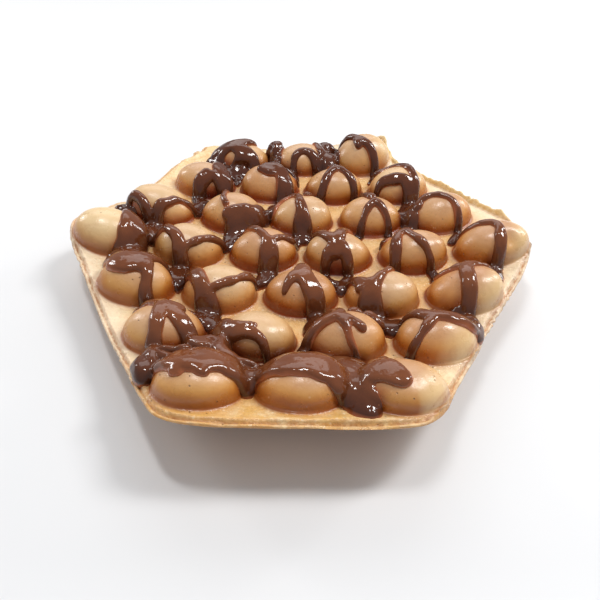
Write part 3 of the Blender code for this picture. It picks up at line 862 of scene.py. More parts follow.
RUNS_MIDDLE_ROW = (
    ((-80, 22, 2.4), (-76, 17, 3), (-72.5, 9, 3.8), (-70, 2, 4.5), (-69.8, -5, 4.9), (-69.3, -12, 5.6),
     (-68.5, -18, 7)),
    ((-72, -8.5, 2.8), (-73.6, -11.5, 3.1), (-74.8, -15, 3.4), (-76.5, -17, 2.4)),
    ((-60, 2.5, 1.8), (-57, 2.5, 2), (-54, -2, 2.1), (-50.5, -7, 2.5), (-49.5, -12, 3.2), (-49, -17, 4),
     (-48.5, -23, 2.5), (-48.5, -27, 1.3)),
    ((-50, -10, 2.5), (-46, -8.2, 1.5), (-40.5, -4.5, 1.4), (-36, -0.7, 1.5), (-32.5, 3.5, 1.8)),
    ((-29, 9, 2.5), (-25, 9, 1.8), (-21, 5, 1.9), (-17.6, 0.5, 1.6), (-15.2, -3, 2), (-13.6, -6, 2.9),
     (-13.5, -10, 3.9), (-14, -15, 4), (-16, -19, 3), (-17, -21, 1.8)),
    ((-14, -6, 2.2), (-11.5, -3.6, 1.5), (-8, -0.8, 1.4), (-4.8, 1, 1.5), (-3.2, 5, 1.6), (-2, 11, 2.5)),
    ((18.5, 7.5, 2), (16.8, 3, 2.3), (14.6, -3.2, 2.7), (13.8, -7, 3.6)),
    ((13, -3.2, 2.4), (9.5, 1.4, 1.8), (6.5, 6, 1.8), (4.8, 10.5, 2)),
    ((10.8, -8, 2), (9.9, -11.5, 1.7), (11.5, -16, 1.8)),
    ((17, -6, 2.4), (19.3, -10.5, 2.1), (19.8, -14, 2), (17.5, -19, 2.8), (16, -23.8, 2.2)),
    ((11.2, -15, 1.8), (12.4, -17.6, 1.8), (15.5, -19, 2.2)),
    ((44, 4, 2), (41, 1.5, 2), (39.5, -4, 2.2), (39, -11, 2.2), (37, -17, 1.7), (33.5, -23, 1.4),
     (30, -28, 1.8), (27.5, -32, 2.5)),
    ((44, 4, 1.8), (46.2, -0.8, 1.5), (50.9, -7, 1.6), (54, -11.2, 1.8), (55.4, -14.2, 1.9),
     (54.4, -17.2, 1.6)),
    ((67, 9.5, 1.3), (69.6, 6.8, 1.3), (72.5, 4.8, 1.4), (76, 3.5, 1.6), (79.2, 1.8, 1.7), (80.8, -2, 2),
     (80.6, -6, 2.3), (80.2, -12, 2.4), (79, -15, 3)),
    ((74, -13, 2), (78, -16, 2.8), (79.5, -19, 2.2), (79, -22, 1.5)),
)
print("third and middle row:", len(RUNS_THIRD_ROW) + len(RUNS_MIDDLE_ROW), "runs")

# %% Sauce on the fifth and the sixth row
RUNS_FIFTH_ROW = (
    ((-82.5, 22.8, 2), (-79, 23.2, 2.4), (-75.5, 24, 1.9), (-72, 21.8, 1.8), (-68.5, 17.5, 2),
     (-66, 13, 3)),
    ((-66, 13.5, 2.8), (-62.5, 18.8, 2.2), (-58, 22.8, 1.7), (-54, 25.8, 1.4), (-51, 27.2, 1.4),
     (-48.8, 27.8, 1.8)),
    ((-64.3, 12, 4.4), (-64.5, 8, 4.3), (-64, 4.5, 3.2), (-63, 2.2, 2.1)),
    ((-33, 19, 2.5), (-28, 19, 4), (-22, 21, 4), (-17, 27, 3), (-15, 33, 3)),
    ((-30, 17, 4), (-31, 11, 4), (-32, 5, 2.5), (-32, 3, 1.5)),
    ((-28, 16.5, 4), (-25, 15, 4)),
    ((-2, 32.5, 1.6), (-1, 27, 2), (0, 21, 2.8), (0.5, 16, 4.2), (0.5, 13, 4.2)),
    ((-14, 37.5, 2.3), (-9, 35.5, 1.8), (-5, 34, 1.6), (-2, 32, 1.6)),
    ((-15, 33, 2.2), (-13.5, 27, 1.8), (-10.5, 31, 1.4), (-6, 33.5, 1.4)),
    ((33, 27, 2), (30, 23.5, 1.6), (27.4, 18.5, 1.5), (25.6, 14.5, 1.8), (22, 11, 2), (19, 7, 2.5)),
    ((33, 27, 2), (36, 24.2, 1.8), (38.8, 19.5, 1.7), (39.8, 15, 1.9), (39.3, 11, 2), (36.5, 6.5, 1.8)),
    ((53, 27, 2.5), (55, 29.5, 1.7), (59.5, 30.3, 1.5), (64, 28, 1.5), (68, 24.3, 1.6), (70, 19.5, 1.7),
     (70.2, 14.5, 1.8), (67.8, 10.5, 2), (66.2, 8.3, 1.7)),
)
RUNS_SIXTH_ROW = (
    ((-42, 60, 2.5), (-40, 55, 4), (-38, 50, 4), (-37, 45, 3)),
    ((-46, 49, 2.5), (-49, 45, 3), (-50, 41, 3), (-49, 37, 3), (-48.5, 31, 2), (-48.5, 27.5, 1.5)),
    ((-48, 38, 3), (-43, 38.5, 2.5), (-38, 42, 3)),
    ((-46, 47, 2.5), (-42.5, 49, 2.3), (-39, 46, 2.3)),
    ((-38, 66, 3), (-33, 64, 2.5), (-33, 59, 1.5)),
    ((-38, 45, 3), (-34, 41, 3), (-35, 36, 1.5), (-35.5, 27, 1), (-34, 23, 1.5)),
    ((-18, 56.5, 2.2), (-13, 57, 3), (-9.5, 52.5, 3.8), (-8, 47, 4.3), (-9.5, 41, 3.5), (-13, 37, 3),
     (-16, 32, 2)),
    ((-20, 55, 2.2), (-16.5, 52.6, 2.2), (-14, 52.4, 2)),
    ((17.5, 58, 2.4), (14.2, 54, 2), (11.5, 49.5, 2), (9.5, 45, 2.2), (7.5, 42, 2), (5, 37, 1.5),
     (2, 33, 1.5)),
    ((18, 58, 2.4), (21, 54.3, 1.8), (24, 50.8, 1.9), (26, 46, 2), (27, 41, 2), (30, 36, 2.3),
     (32, 31, 2.2)),
    ((38, 61, 2), (42, 63.5, 1.8), (47, 63.5, 1.8), (51, 60.3, 2), (53.3, 55.5, 2.1), (54.6, 50, 2.2),
     (54.5, 44, 2.5), (52.5, 40, 3)),
    ((35.2, 43.5, 1.2), (36.6, 47.5, 1.5), (39, 50.2, 2.2), (43.5, 50, 2.8), (49, 49.2, 2.8), (52, 45, 3),
     (52, 40, 3.5), (49.5, 35, 4), (49, 29, 3.5), (50, 22, 3.5), (49, 14, 3), (46, 8, 2.2)),
)
print("fifth and sixth row:", len(RUNS_FIFTH_ROW) + len(RUNS_SIXTH_ROW), "runs")

# %% Sauce on the back row, and three small places that it leaves bare
RUNS_BACK_ROW = (
    ((-48, 80, 3), (-42, 82, 3.5), (-36, 82, 4), (-31, 84.8, 3.6), (-27.2, 87.8, 2.6)),
    ((-16.5, 89, 3.2), (-12.5, 89, 3.2), (-13.5, 85, 3.6), (-14, 79, 3.5), (-14, 72, 3)),
    ((-40, 76, 4.5), (-33, 76, 5), (-27, 75, 3.5), (-24, 71, 3)),
    ((-47, 79, 3), (-44, 73, 3), (-40, 68, 3), (-34, 67, 3.5), (-28, 68, 3), (-22, 69, 2.5)),
    ((-4, 68, 2.5), (-4.3, 73, 1.8), (-2.8, 76.6, 1.8), (1, 78.2, 2), (5, 76.8, 2.4), (8, 73, 2.8)),
    ((-14, 69, 3), (-8, 69, 2.5), (-4, 67, 2.5), (-3, 62, 2), (-2.8, 59.5, 1.5)),
    ((7, 92, 2.6), (12, 91.5, 4.4), (17, 92.5, 2.8)),
    ((9, 89, 4), (12, 86, 5.5), (14, 80, 6), (14, 75, 5), (15, 68, 4), (16, 61, 3)),
    ((16, 91, 3), (20.5, 91, 2), (25, 88.3, 1.9), (28.5, 84.5, 2.1), (32, 81, 2.4), (35.5, 77.5, 2.2),
     (37.8, 73, 2.1), (38, 68.5, 2.1), (36, 64, 2)),
    ((28.5, 82, 1.8), (29.3, 78.8, 1.6)),
)
BARE_PLACES = (
    (-37.6, 74.6, 2.6),
    (-73, 17.6, 1.6),
    (-71.4, 15.8, 1.2),
)
SAUCE_RUNS = (RUNS_FRONT_ROW + RUNS_SECOND_ROW + RUNS_THIRD_ROW + RUNS_MIDDLE_ROW
              + RUNS_FIFTH_ROW + RUNS_SIXTH_ROW + RUNS_BACK_ROW)
print(len(SAUCE_RUNS), "runs of sauce")

# %% [markdown]
# A picture of the runs could be painted and read back, but it would have one fineness. It is as
# easy to ask for any place how far it is inside the nearest run: the half width there, less the
# distance to the run's middle line. Places that stayed bare are cut out of the answer.


# %% How far inside the sauce a place is
DRY = -9.0
PATH_STEP = 1.0
TINY = 1e-9


def cover(x, y):
    """How far inside the sauce's border each place is, in millimetres; negative outside."""
    best = np.full(len(x), DRY)
    for run in SAUCE_RUNS:
        path = even_path(run, PATH_STEP)
        reach = path[:, 2].max() + 1
        low, high = path[:, :2].min(axis=0) - reach, path[:, :2].max(axis=0) + reach
        near = np.flatnonzero((x > low[0]) & (x < high[0]) & (y > low[1]) & (y < high[1]))
        for here, there in zip(path, path[1:]):
            step = there[:2] - here[:2]
            from_x, from_y = x[near] - here[0], y[near] - here[1]
            part = np.clip((from_x * step[0] + from_y * step[1]) / max(step @ step, TINY), 0, 1)
            away = np.hypot(from_x - part * step[0], from_y - part * step[1])
            best[near] = np.maximum(best[near], here[2] + part * (there[2] - here[2]) - away)
    for bare_x, bare_y, reach in BARE_PLACES:
        best = np.minimum(best, np.hypot(x - bare_x, y - bare_y) - reach)
    return best


print("inside the front pool:", round(float(cover(np.array([-30.0]), np.array([-79.0]))[0]), 1), "mm")

# %% [markdown]
# The next question is how deep the sauce is. At the border the depth is nothing, and it grows
# inwards until it is as thick as such a sauce stands: about two millimetres on a dome, three in a
# dip. A slow unevenness in border and depth makes it look poured.

# %% How deep the sauce is there
DEPTH_ON_EGGS = 2.1
DEPTH_IN_DIPS = 3.0
DIP_HEIGHT = 6.0
BORDER_OUT = 0.40
BORDER_WAVER = 0.25
DEPTH_WAVER = 0.12


def drop_sizes(places):
    """Radius of a drop centred on the batter's skin at each place."""
    inside = cover(places[:, 0], places[:, 1])
    inside += BORDER_OUT + BORDER_WAVER * lumps(places[:, 0], places[:, 1], size=7.0, seed=31)
    dip = np.clip(1 - places[:, 2] / DIP_HEIGHT, 0, 1)
    deepest = DEPTH_ON_EGGS + (DEPTH_IN_DIPS - DEPTH_ON_EGGS) * dip
    deepest *= 1 + DEPTH_WAVER * lumps(places[:, 0], places[:, 1], size=10.0, seed=21)
    return np.minimum(inside, deepest), inside


test_places = np.array([(-30.0, -79.0, 12.0), (-30.0, -79.0, 0.0)])
print("depth on a crown and in a dip there:", np.round(drop_sizes(test_places)[0], 1), "mm")

# %% [markdown]
# The depth becomes a shape by way of drops. The covered skin of the batter is sprinkled with
# points, each the centre of a ball whose radius is the depth there: small balls near a border,
# large ones in the dips. Melted together they give the round bead and the soft joins by
# themselves. First the whole upper skin gets its points, a little over half a millimetre apart.


# %% Points all over the upper skin
SKIN_SPACING = 0.65


def skin_points(spacing):
    """Points all over the batter's upper skin, closely spaced, and their height over the sheet."""
    skin = []
    for number, egg in enumerate(eggs):
        levels = round(EGG_CROWN * math.pi / 2 / spacing)
        rings = dome_rings(egg, number, levels, round(EGG_HALF_LENGTH * math.tau / spacing))
        for level, ring in enumerate(rings[1:], 1):
            skin.append(ring[::max(1, levels // (2 * level))])
    xs = np.arange(rim[:, 0].min(), rim[:, 0].max(), spacing)
    ys = np.arange(rim[:, 1].min(), rim[:, 1].max(), spacing)
    flat = np.stack(np.meshgrid(xs, ys), -1).reshape(-1, 2)
    flat = flat[outside_eggs(flat, 1.0)]
    flat = flat[inside_loop(flat, rim)]
    height = sheet_height(flat[:, 0], flat[:, 1], *edge_distance(flat[:, 0], flat[:, 1]))
    skin.append(np.column_stack([flat, height]))
    return np.vstack(skin)


skin = skin_points(SKIN_SPACING)
print(len(skin), "points on the upper skin")

# %% [markdown]
# Only points that are under sauce keep a drop. No drop may reach through the thin sheet, so one
# that would is made smaller and raised, which leaves its top where it was.

# %% Drops on the covered skin
SMALLEST_DROP = 0.3
DEEPEST_SAUCE = -2.0


def kept_above(places, sizes):
    """Drops that would reach through the sheet: same top, but a smaller drop placed higher."""
    low = places[:, 2] - sizes < DEEPEST_SAUCE
    top = places[:, 2] + sizes
    sizes = np.where(low, (top - DEEPEST_SAUCE) / 2, sizes)
    return np.column_stack([places[:, :2], top - sizes]), sizes


drops, _ = drop_sizes(skin)
wet = drops > SMALLEST_DROP
skin, drops = kept_above(skin[wet], drops[wet])
print(len(skin), "drops on the skin, radius", round(drops.min(), 2), "to", round(drops.max(), 2), "mm")

# %% [markdown]
# Where sauce from two eggs meets, it does not follow the dip between them: its own skin pulls it
# into a bridge. On a mesh that is hard to find out, and on a map of square cells it is easy. Each
# cell of the map knows the height of the batter and the depth of the sauce.

# %% A height map of batter and sauce
CELL = 0.8
MAP_HALF_WIDTH, MAP_HALF_DEPTH = 99, 103


def batter_height(x, y):
    """Height of the batter's upper skin at places in plan."""
    height = np.zeros(np.shape(x))
    for egg in eggs:
        height = np.maximum(height, egg["crown"] * np.sqrt(np.clip(1 - egg_share(egg, x, y), 0, None)))
    return height


def neighbour_mean(grid):
    """The mean of each cell's four neighbours."""
    return (np.roll(grid, 1, 0) + np.roll(grid, -1, 0) + np.roll(grid, 1, 1) + np.roll(grid, -1, 1)) / 4


map_x, map_y = np.meshgrid(np.arange(-MAP_HALF_WIDTH, MAP_HALF_WIDTH, CELL),
                           np.arange(-MAP_HALF_DEPTH, MAP_HALF_DEPTH, CELL))
ground = batter_height(map_x, map_y)
cells = np.column_stack([map_x.ravel(), map_y.ravel(), ground.ravel()])
thick, inside = (values.reshape(map_x.shape) for values in drop_sizes(cells))
covered = thick > SMALLEST_DROP
print("map of", map_x.shape, "cells,", round(float(covered.mean() * 100)), "% under sauce")

# %% [markdown]
# The sauce's surface starts as batter plus depth. Every covered cell is then lifted again and again
# to the mean of its neighbours, and never lowered, until the dips are spanned.

# %% Bridges between the eggs
FILL_ROUNDS = 90

poured = ground + np.where(covered, thick, 0)
settled = poured.copy()
for _ in range(FILL_ROUNDS):
    settled = np.where(covered, np.maximum(poured, neighbour_mean(settled)), poured)
print("bridges lift the sauce by up to", round(float((settled - poured).max()), 1), "mm")

# %% [markdown]
# In a few places more sauce was poured than a bridge holds, and it stands as a small lake with a
# level top. Each lake has a place, a reach and a level.

# %% Lakes: x, y, reach and level
LAKES = (
    (-32, -69, 17, 10.5),
    (-43, -71, 10, 9.5),
    (-22, -71, 10, 9.0),
    (-49, -76, 8.5, 6.5),
    (14, -76, 11, 8.5),
    (57, -49, 10, 7.0),
    (-67, -17, 12, 8.5),
    (12, 78, 9, 9.0),
    (12, 91, 6, 7.0),
    (-13.5, 86.5, 7, 11.6),
    (-12, 72, 10, 7.0),
)
SHORE = 3.0

for lake_x, lake_y, reach, level in LAKES:
    away = np.hypot(map_x - lake_x, map_y - lake_y) / reach
    pull = np.clip(1 - away ** 2, 0, 1) ** 0.5 * np.clip(inside / SHORE, 0, 1) ** 0.5
    settled = np.where(covered, np.maximum(settled, level * pull), settled)
print("bridges and lakes together:", round(float((settled - poured).max()), 1), "mm")

# %% [markdown]
# What the map has lifted is filled with more drops, stacked down from the new surface until they
# reach the sauce that is there already. They are treated like those on the skin.

# %% Fill what was lifted with stacked drops
FILL_DROP, LEAST_FILL_DROP = 1.4, 0.5
FILL_STEP = 1.0
LEAST_LIFT = 0.25
OVERLAP = 0.5

fill_points, fill_drops = [], []
size = np.minimum(FILL_DROP, np.maximum(inside, LEAST_FILL_DROP))
height = settled - size
while True:
    missing = covered & (height > ground + thick * OVERLAP) & (settled - poured > LEAST_LIFT)
    if not missing.any():
        break
    fill_points.append(np.column_stack([map_x[missing], map_y[missing], height[missing]]))
    fill_drops.append(size[missing])
    height = height - FILL_STEP
fill_points, fill_drops = kept_above(np.vstack(fill_points), np.concatenate(fill_drops))
skin = np.vstack([skin, fill_points])
drops = np.concatenate([drops, fill_drops])
print(len(fill_drops), "drops more,", len(drops), "in all")

# %% [markdown]
# Metaballs would melt the drops too, but they are slow with so many. Geometry nodes do it in a
# second or two: points with a radius become a volume, and the volume's surface becomes a mesh. The
# voxels have to be finer than the thinnest strand, and each halving takes eight times the memory.

# %% A node group that melts drops
VOXEL = 0.48
THRESHOLD = 0.25


def melt_group():
    """Geometry nodes that turn points with a radius into one volume and back into a mesh."""
    tree = bpy.data.node_groups.new("melt_drops", "GeometryNodeTree")
    tree.interface.new_socket("Geometry", in_out="INPUT", socket_type="NodeSocketGeometry")
    tree.interface.new_socket("Geometry", in_out="OUTPUT", socket_type="NodeSocketGeometry")
    start = tree.nodes.new("NodeGroupInput")
    end = tree.nodes.new("NodeGroupOutput")
    radius = tree.nodes.new("GeometryNodeInputNamedAttribute")
    radius.data_type = "FLOAT"
    radius.inputs["Name"].default_value = "drop"
    points = tree.nodes.new("GeometryNodeMeshToPoints")
    volume = tree.nodes.new("GeometryNodePointsToVolume")
    volume.resolution_mode = "VOXEL_SIZE"
    volume.inputs["Voxel Size"].default_value = VOXEL * MM
    surface = tree.nodes.new("GeometryNodeVolumeToMesh")
    surface.resolution_mode = "GRID"
    surface.inputs["Threshold"].default_value = THRESHOLD
    tree.links.new(start.outputs[0], points.inputs["Mesh"])
    tree.links.new(radius.outputs["Attribute"], points.inputs["Radius"])
    tree.links.new(points.outputs[0], volume.inputs["Points"])
    tree.links.new(radius.outputs["Attribute"], volume.inputs["Radius"])
    tree.links.new(volume.outputs[0], surface.inputs["Volume"])
    tree.links.new(surface.outputs[0], end.inputs[0])
    return tree


def applied(item):
    """Replaces an object's mesh with what its modifiers make of it."""
    bpy.context.view_layer.update()
    shown = item.evaluated_get(bpy.context.evaluated_depsgraph_get())
    result = bpy.data.meshes.new_from_object(shown)
    item.modifiers.clear()
    item.data = result


print("melting in voxels of", VOXEL, "mm")

# %% [markdown]
# A volume can leave small closed voids inside the sauce, and specks beside it. Nobody sees them in
# a picture, but they are faults in a mesh that is kept. Each piece of the mesh is followed from
# point to point, and one with few points is deleted.

# %% Leave out what isn't joined
SMALLEST_PATCH = 400


def take_out_crumbs(item):
    """Deletes small pieces of the mesh that hang on nothing, such as voids inside the sauce."""
    bm = bmesh.new()
    bm.from_mesh(item.data)
    left = set(bm.verts)
    crumbs = []
    while left:
        reached = [left.pop()]
        for point in reached:
            for edge in point.link_edges:
                other = edge.other_vert(point)
                if other in left:
                    left.remove(other)
                    reached.append(other)
        if len(reached) < SMALLEST_PATCH:
            crumbs += reached
    bmesh.ops.delete(bm, geom=crumbs, context="VERTS")
    bm.to_mesh(item.data)
    bm.free()
    return len(crumbs)


print("pieces of fewer than", SMALLEST_PATCH, "points will be left out")

# %% [markdown]
# A volume's surface shows its voxels as faint steps, so it is smoothed a little, as a liquid skin
# would be. Flat parts don't need as many faces as the beads, and a decimate modifier takes the
# mesh down to a number that any program can still turn around.

# %% Melt, smooth and thin out the sauce
SETTLE_ROUNDS = 10
SETTLE_FACTOR = 0.5
FACE_LIMIT = 190000

sauce = make_mesh("chocolate_sauce", skin, [])
store(sauce, "drop", drops * MM)
sauce.modifiers.new("melt", "NODES").node_group = melt_group()
settle = sauce.modifiers.new("settle", "SMOOTH")
settle.factor = SETTLE_FACTOR
settle.iterations = SETTLE_ROUNDS
applied(sauce)
print("points left out:", take_out_crumbs(sauce))
triangles = sum(len(face.vertices) - 2 for face in sauce.data.polygons)
print("melted sauce:", triangles, "triangles")
if triangles > FACE_LIMIT:
    thinner = sauce.modifiers.new("thinner", "DECIMATE")
    thinner.ratio = FACE_LIMIT / triangles
    applied(sauce)
sauce.data.shade_smooth()
sauce.data.materials.clear()
print("sauce:", len(sauce.data.polygons), "faces")

# %% [markdown]
# The sauce's finish depends on how thick it lies over the batter, on how deep in the dips it is,
# which darkens it partly for its depth and partly as painted shade, and on how far back, where
# its crests get painted shade because the photograph shows darker sauce on the back rows. All
# three are stored on its points before it is eased down like the batter. The sauce stands for
# the same node of the construction model, in which batter and sauce are one solid.

# %% Store depth on the sauce and put it in the frame
FULL_THICKNESS = 3.0
FULL_HEIGHT = 13.0
BACK_FROM, BACK_SPAN = -10.0, 70.0

where = pan_points(sauce)
above = where[:, 2] - batter_height(where[:, 0], where[:, 1])
store(sauce, "thick", np.clip(above / FULL_THICKNESS, 0, 1))
# painted shade, partly the deep sauce's own darkness: sauce low in the dips is made darker
store(sauce, "sunk_in_shade", np.clip(1 - where[:, 2] / FULL_HEIGHT, 0, 1))
# back: where the sauce's crests get painted shade
store(sauce, "back", np.clip((where[:, 1] - BACK_FROM) / BACK_SPAN, 0, 1))
keep_low(sauce)
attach(sauce, "root")
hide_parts("waffle")
print(sauce.name, "is", np.round(np.array(sauce.dimensions) / MM, 1), "mm")

# %% [markdown]
# Batter that is nearly closed in by sauce is painted browner. Partly it is a stain, where fat soaks
# into the crust, and partly painted shade, for the light that the thick strands keep away and the
# brown they throw back. The map already knows where sauce is. Blurred over a few millimetres, it
# says how much sauce surrounds each place.

# %% How much sauce surrounds each place of the batter
BLUR_ROUNDS = 50
SOAK_FROM, SOAK_SPAN = 0.36, 0.3

around = covered.astype(float)
for _ in range(BLUR_ROUNDS):
    around = neighbour_mean(around)
spots = pan_points(waffle)
across = np.clip(((spots[:, 0] - map_x[0, 0]) / CELL).round().astype(int), 0, map_x.shape[1] - 1)
up = np.clip(((spots[:, 1] - map_y[0, 0]) / CELL).round().astype(int), 0, map_y.shape[0] - 1)
soaked_and_shaded = np.clip((around[up, across] - SOAK_FROM) / SOAK_SPAN, 0, 1)
store(waffle, "soaked_and_shaded", soaked_and_shaded)
print("batter points with sauce all round:", int((soaked_and_shaded > 0.9).sum()))

# %% [markdown]
# A finish is a small network of nodes. Clicking it together by hand is fine once, but written
# down, with one short helper for each kind of node, it can be read from top to bottom like a
# recipe. Colours are given as a screen shows them, because that is how they were compared.


# %% Colours, links and numbers
def colour(red, green, blue):
    """A colour as seen on a screen, 0 to 255, in the linear values that shaders take."""
    def linear(value):
        value /= 255
        return value / 12.92 if value <= 0.04045 else ((value + 0.055) / 1.055) ** 2.4
    return (linear(red), linear(green), linear(blue), 1.0)


def wire(tree, value, socket):
    """Links a socket to another one, or sets it to a number or a colour."""
    if isinstance(value, bpy.types.NodeSocket):
        tree.links.new(value, socket)
    else:
        socket.default_value = value


def maths(tree, kind, first, second):
    """One sum, difference or product of two numbers or sockets."""
    node = tree.nodes.new("ShaderNodeMath")
    node.operation = kind
    wire(tree, first, node.inputs[0])
    wire(tree, second, node.inputs[1])
    return node.outputs[0]


def ranged(tree, source, low, high, to_low=0.0, to_high=1.0):
    """Stretches the values from low to high to a new range, and cuts off the rest."""
    node = tree.nodes.new("ShaderNodeMapRange")
    wire(tree, source, node.inputs["Value"])
    wire(tree, low, node.inputs["From Min"])
    wire(tree, high, node.inputs["From Max"])
    wire(tree, to_low, node.inputs["To Min"])
    wire(tree, to_high, node.inputs["To Max"])
    return node.outputs["Result"]


print("sauce brown in a shader's values:", [round(value, 3) for value in colour(104, 54, 27)])

# %% [markdown]
# Batter and sauce share two effects: soft patches, for mottling, swirls and uneven gloss, and
# small round specks, for pores, crumbs and air bubbles. Each is a shader node group with named
# inputs and one output. It is built once, and every material places it with its own values, so a
# change to the group reaches both finishes. The first one stretches a noise between two levels.


# %% The shared group of soft patches
NOISE_DETAIL = 4.0


def new_group(name, inputs, output):
    """An empty shader node group with named number inputs and one output."""
    tree = bpy.data.node_groups.new(name, "ShaderNodeTree")
    for label, value in inputs.items():
        socket = tree.interface.new_socket(label, in_out="INPUT", socket_type="NodeSocketFloat")
        socket.default_value = value
    tree.interface.new_socket(output, in_out="OUTPUT", socket_type="NodeSocketFloat")
    return tree, tree.nodes.new("NodeGroupInput").outputs, tree.nodes.new("NodeGroupOutput").inputs


def soft_patches():
    """Noise between two levels, stretched to a mask from 0 to 1."""
    inputs = {"Scale": 60.0, "Roughness": 0.5, "Low": 0.3, "High": 0.7}
    tree, given, result = new_group("soft_patches", inputs, "Mask")
    place = tree.nodes.new("ShaderNodeTexCoord")
    grain = tree.nodes.new("ShaderNodeTexNoise")
    grain.inputs["Detail"].default_value = NOISE_DETAIL
    wire(tree, place.outputs["Object"], grain.inputs["Vector"])
    wire(tree, given["Scale"], grain.inputs["Scale"])
    wire(tree, given["Roughness"], grain.inputs["Roughness"])
    wire(tree, ranged(tree, grain.outputs["Fac"], given["Low"], given["High"]), result["Mask"])
    return tree


PATCHES = soft_patches()
print("group", PATCHES.name, "with", len(PATCHES.nodes), "nodes")

# %% [markdown]
# A speck is the round middle of a cell in a cell pattern. Every cell also has a colour by chance,
# and one channel of it decides whether its speck is drawn, so that they lie as unevenly as real
# pores do.


# %% The shared group of small specks
SPECK_CORE = 0.4


def small_specks():
    """Round specks of a size, one in each cell of the scale, of which only a share shows."""
    inputs = {"Scale": 200.0, "Size": 0.1, "Share": 0.3}
    tree, given, result = new_group("small_specks", inputs, "Mask")
    place = tree.nodes.new("ShaderNodeTexCoord")
    cells = tree.nodes.new("ShaderNodeTexVoronoi")
    wire(tree, place.outputs["Object"], cells.inputs["Vector"])
    wire(tree, given["Scale"], cells.inputs["Scale"])
    chance = tree.nodes.new("ShaderNodeSeparateColor")
    wire(tree, cells.outputs["Color"], chance.inputs[0])
    core = maths(tree, "MULTIPLY", given["Size"], SPECK_CORE)
    near = ranged(tree, cells.outputs["Distance"], given["Size"], core)
    drawn = maths(tree, "LESS_THAN", chance.outputs[0], given["Share"])
    wire(tree, maths(tree, "MULTIPLY", near, drawn), result["Mask"])
    return tree


SPECKS = small_specks()
print("group", SPECKS.name, "with", len(SPECKS.nodes), "nodes")

# %% [markdown]
# The last helpers are the words of the recipes below: place a group, read a stored number, start a
# material, run a value through a ramp of colours, mix two colours, and turn a height into relief.


# %% Place a group, read an attribute, start a material
def placed(tree, group, **values):
    """Places a shared group in a material with its own values, and gives its output."""
    node = tree.nodes.new("ShaderNodeGroup")
    node.node_tree = group
    for label, value in values.items():
        wire(tree, value, node.inputs[label])
    return node.outputs[0]


def attribute(tree, name):
    """Reads a number that was stored on the points."""
    node = tree.nodes.new("ShaderNodeAttribute")
    node.attribute_name = name
    return node.outputs["Fac"]


def new_material(name):
    """A new material, its node tree and its surface shader."""
    material = bpy.data.materials.new(name)
    material.use_nodes = True
    return material, material.node_tree, material.node_tree.nodes["Principled BSDF"]


print("groups to place:", [group.name for group in (PATCHES, SPECKS)])

# %% Build up a colour and a relief
def ramp(tree, source, stops):
    """A soft gradient through colours at given places."""
    node = tree.nodes.new("ShaderNodeValToRGB")
    node.color_ramp.interpolation = "B_SPLINE"
    elements = node.color_ramp.elements
    while len(elements) < len(stops):
        elements.new(0.5)
    for element, (place, shade) in zip(elements, stops):
        element.position = place
        element.color = shade
    wire(tree, source, node.inputs["Fac"])
    return node.outputs["Color"]


def mixed(tree, factor, first, second, kind="MIX"):
    """Mixes two colours by a factor."""
    node = tree.nodes.new("ShaderNodeMix")
    node.data_type = "RGBA"
    node.blend_type = kind
    wire(tree, factor, node.inputs[0])
    wire(tree, first, node.inputs[6])
    wire(tree, second, node.inputs[7])
    return node.outputs[2]


def part_mixed(tree, mask, most, first, second, kind="MIX"):
    """Mixes a colour in where a mask shows, up to a share."""
    return mixed(tree, maths(tree, "MULTIPLY", mask, most), first, second, kind)


def bumped(tree, height, depth):
    """Turns a height from 0 to 1 into a relief of some depth in millimetres."""
    node = tree.nodes.new("ShaderNodeBump")
    node.inputs["Distance"].default_value = depth * MM
    wire(tree, height, node.inputs["Height"])
    return node.outputs["Normal"]


print("a relief of 0.2 mm is a bump distance of", round(0.2 * MM, 4), "m")

# %% [markdown]
# Baked batter is matt to satin. The domes are tan on their crowns and orange brown on their flanks,
# and darker towards the foot, partly from browning and partly as painted shade. Eggs well inside
# the sheet get a dark red brown foot, again partly browning and partly painted shade from the close
# eggs round them. The colour could come from a painted picture, but a picture has one size. Here
# two ramps read how high a point is on its dome, so the gradient follows the shape exactly, and
# "heart" picks between them.

# %% Two gradients from the foot of a dome to its crown
# darker towards the foot: partly browning, partly painted shade low on the dome
OUTER_DOMES = (
    (0.0, colour(176, 104, 46)),
    (0.09, colour(150, 80, 20)),
    (0.21, colour(166, 92, 24)),
    (0.34, colour(180, 110, 42)),
    (0.45, colour(198, 132, 58)),
    (0.56, colour(212, 153, 80)),
    (0.74, colour(212, 162, 110)),
    (1.0, colour(194, 150, 112)),
)
# inner eggs: a darker foot, partly browning and partly painted shade from the close eggs round them
INNER_DOMES = (
    (0.0, colour(168, 88, 30)),
    (0.09, colour(132, 52, 8)),
    (0.20, colour(136, 58, 8)),
    (0.30, colour(150, 76, 20)),
    (0.41, colour(180, 114, 46)),
    (0.52, colour(204, 144, 76)),
    (0.70, colour(214, 165, 108)),
    (1.0, colour(196, 152, 114)),
)
WANDER = 0.09


def flank_colour(tree, crown):
    """Colour by height on the dome, with the height wandering a little from place to place."""
    wander = ranged(tree, placed(tree, PATCHES, Scale=55.0), 0.0, 1.0, -WANDER, WANDER)
    above_foot = ranged(tree, crown, 0.02, 0.2)
    high = maths(tree, "ADD", crown, maths(tree, "MULTIPLY", wander, above_foot))
    # both ramps paint the foot darker, partly browning and partly painted shade
    outer = ramp(tree, high, OUTER_DOMES)
    inner = ramp(tree, high, INNER_DOMES)
    return mixed(tree, attribute(tree, "heart"), outer, inner)


print("gradients of", len(OUTER_DOMES), "and", len(INNER_DOMES), "colours, from foot to crown")

# %% [markdown]
# On top of the gradient comes what tells one egg from the next. Pale eggs are creamier towards
# their crowns, dark ones are redder all over, and eggs by the right edge get painted light on that
# side. The crust between two strands of sauce is painted browner, as a stain and as painted shade.
# Blotches and pale specks break it all up.


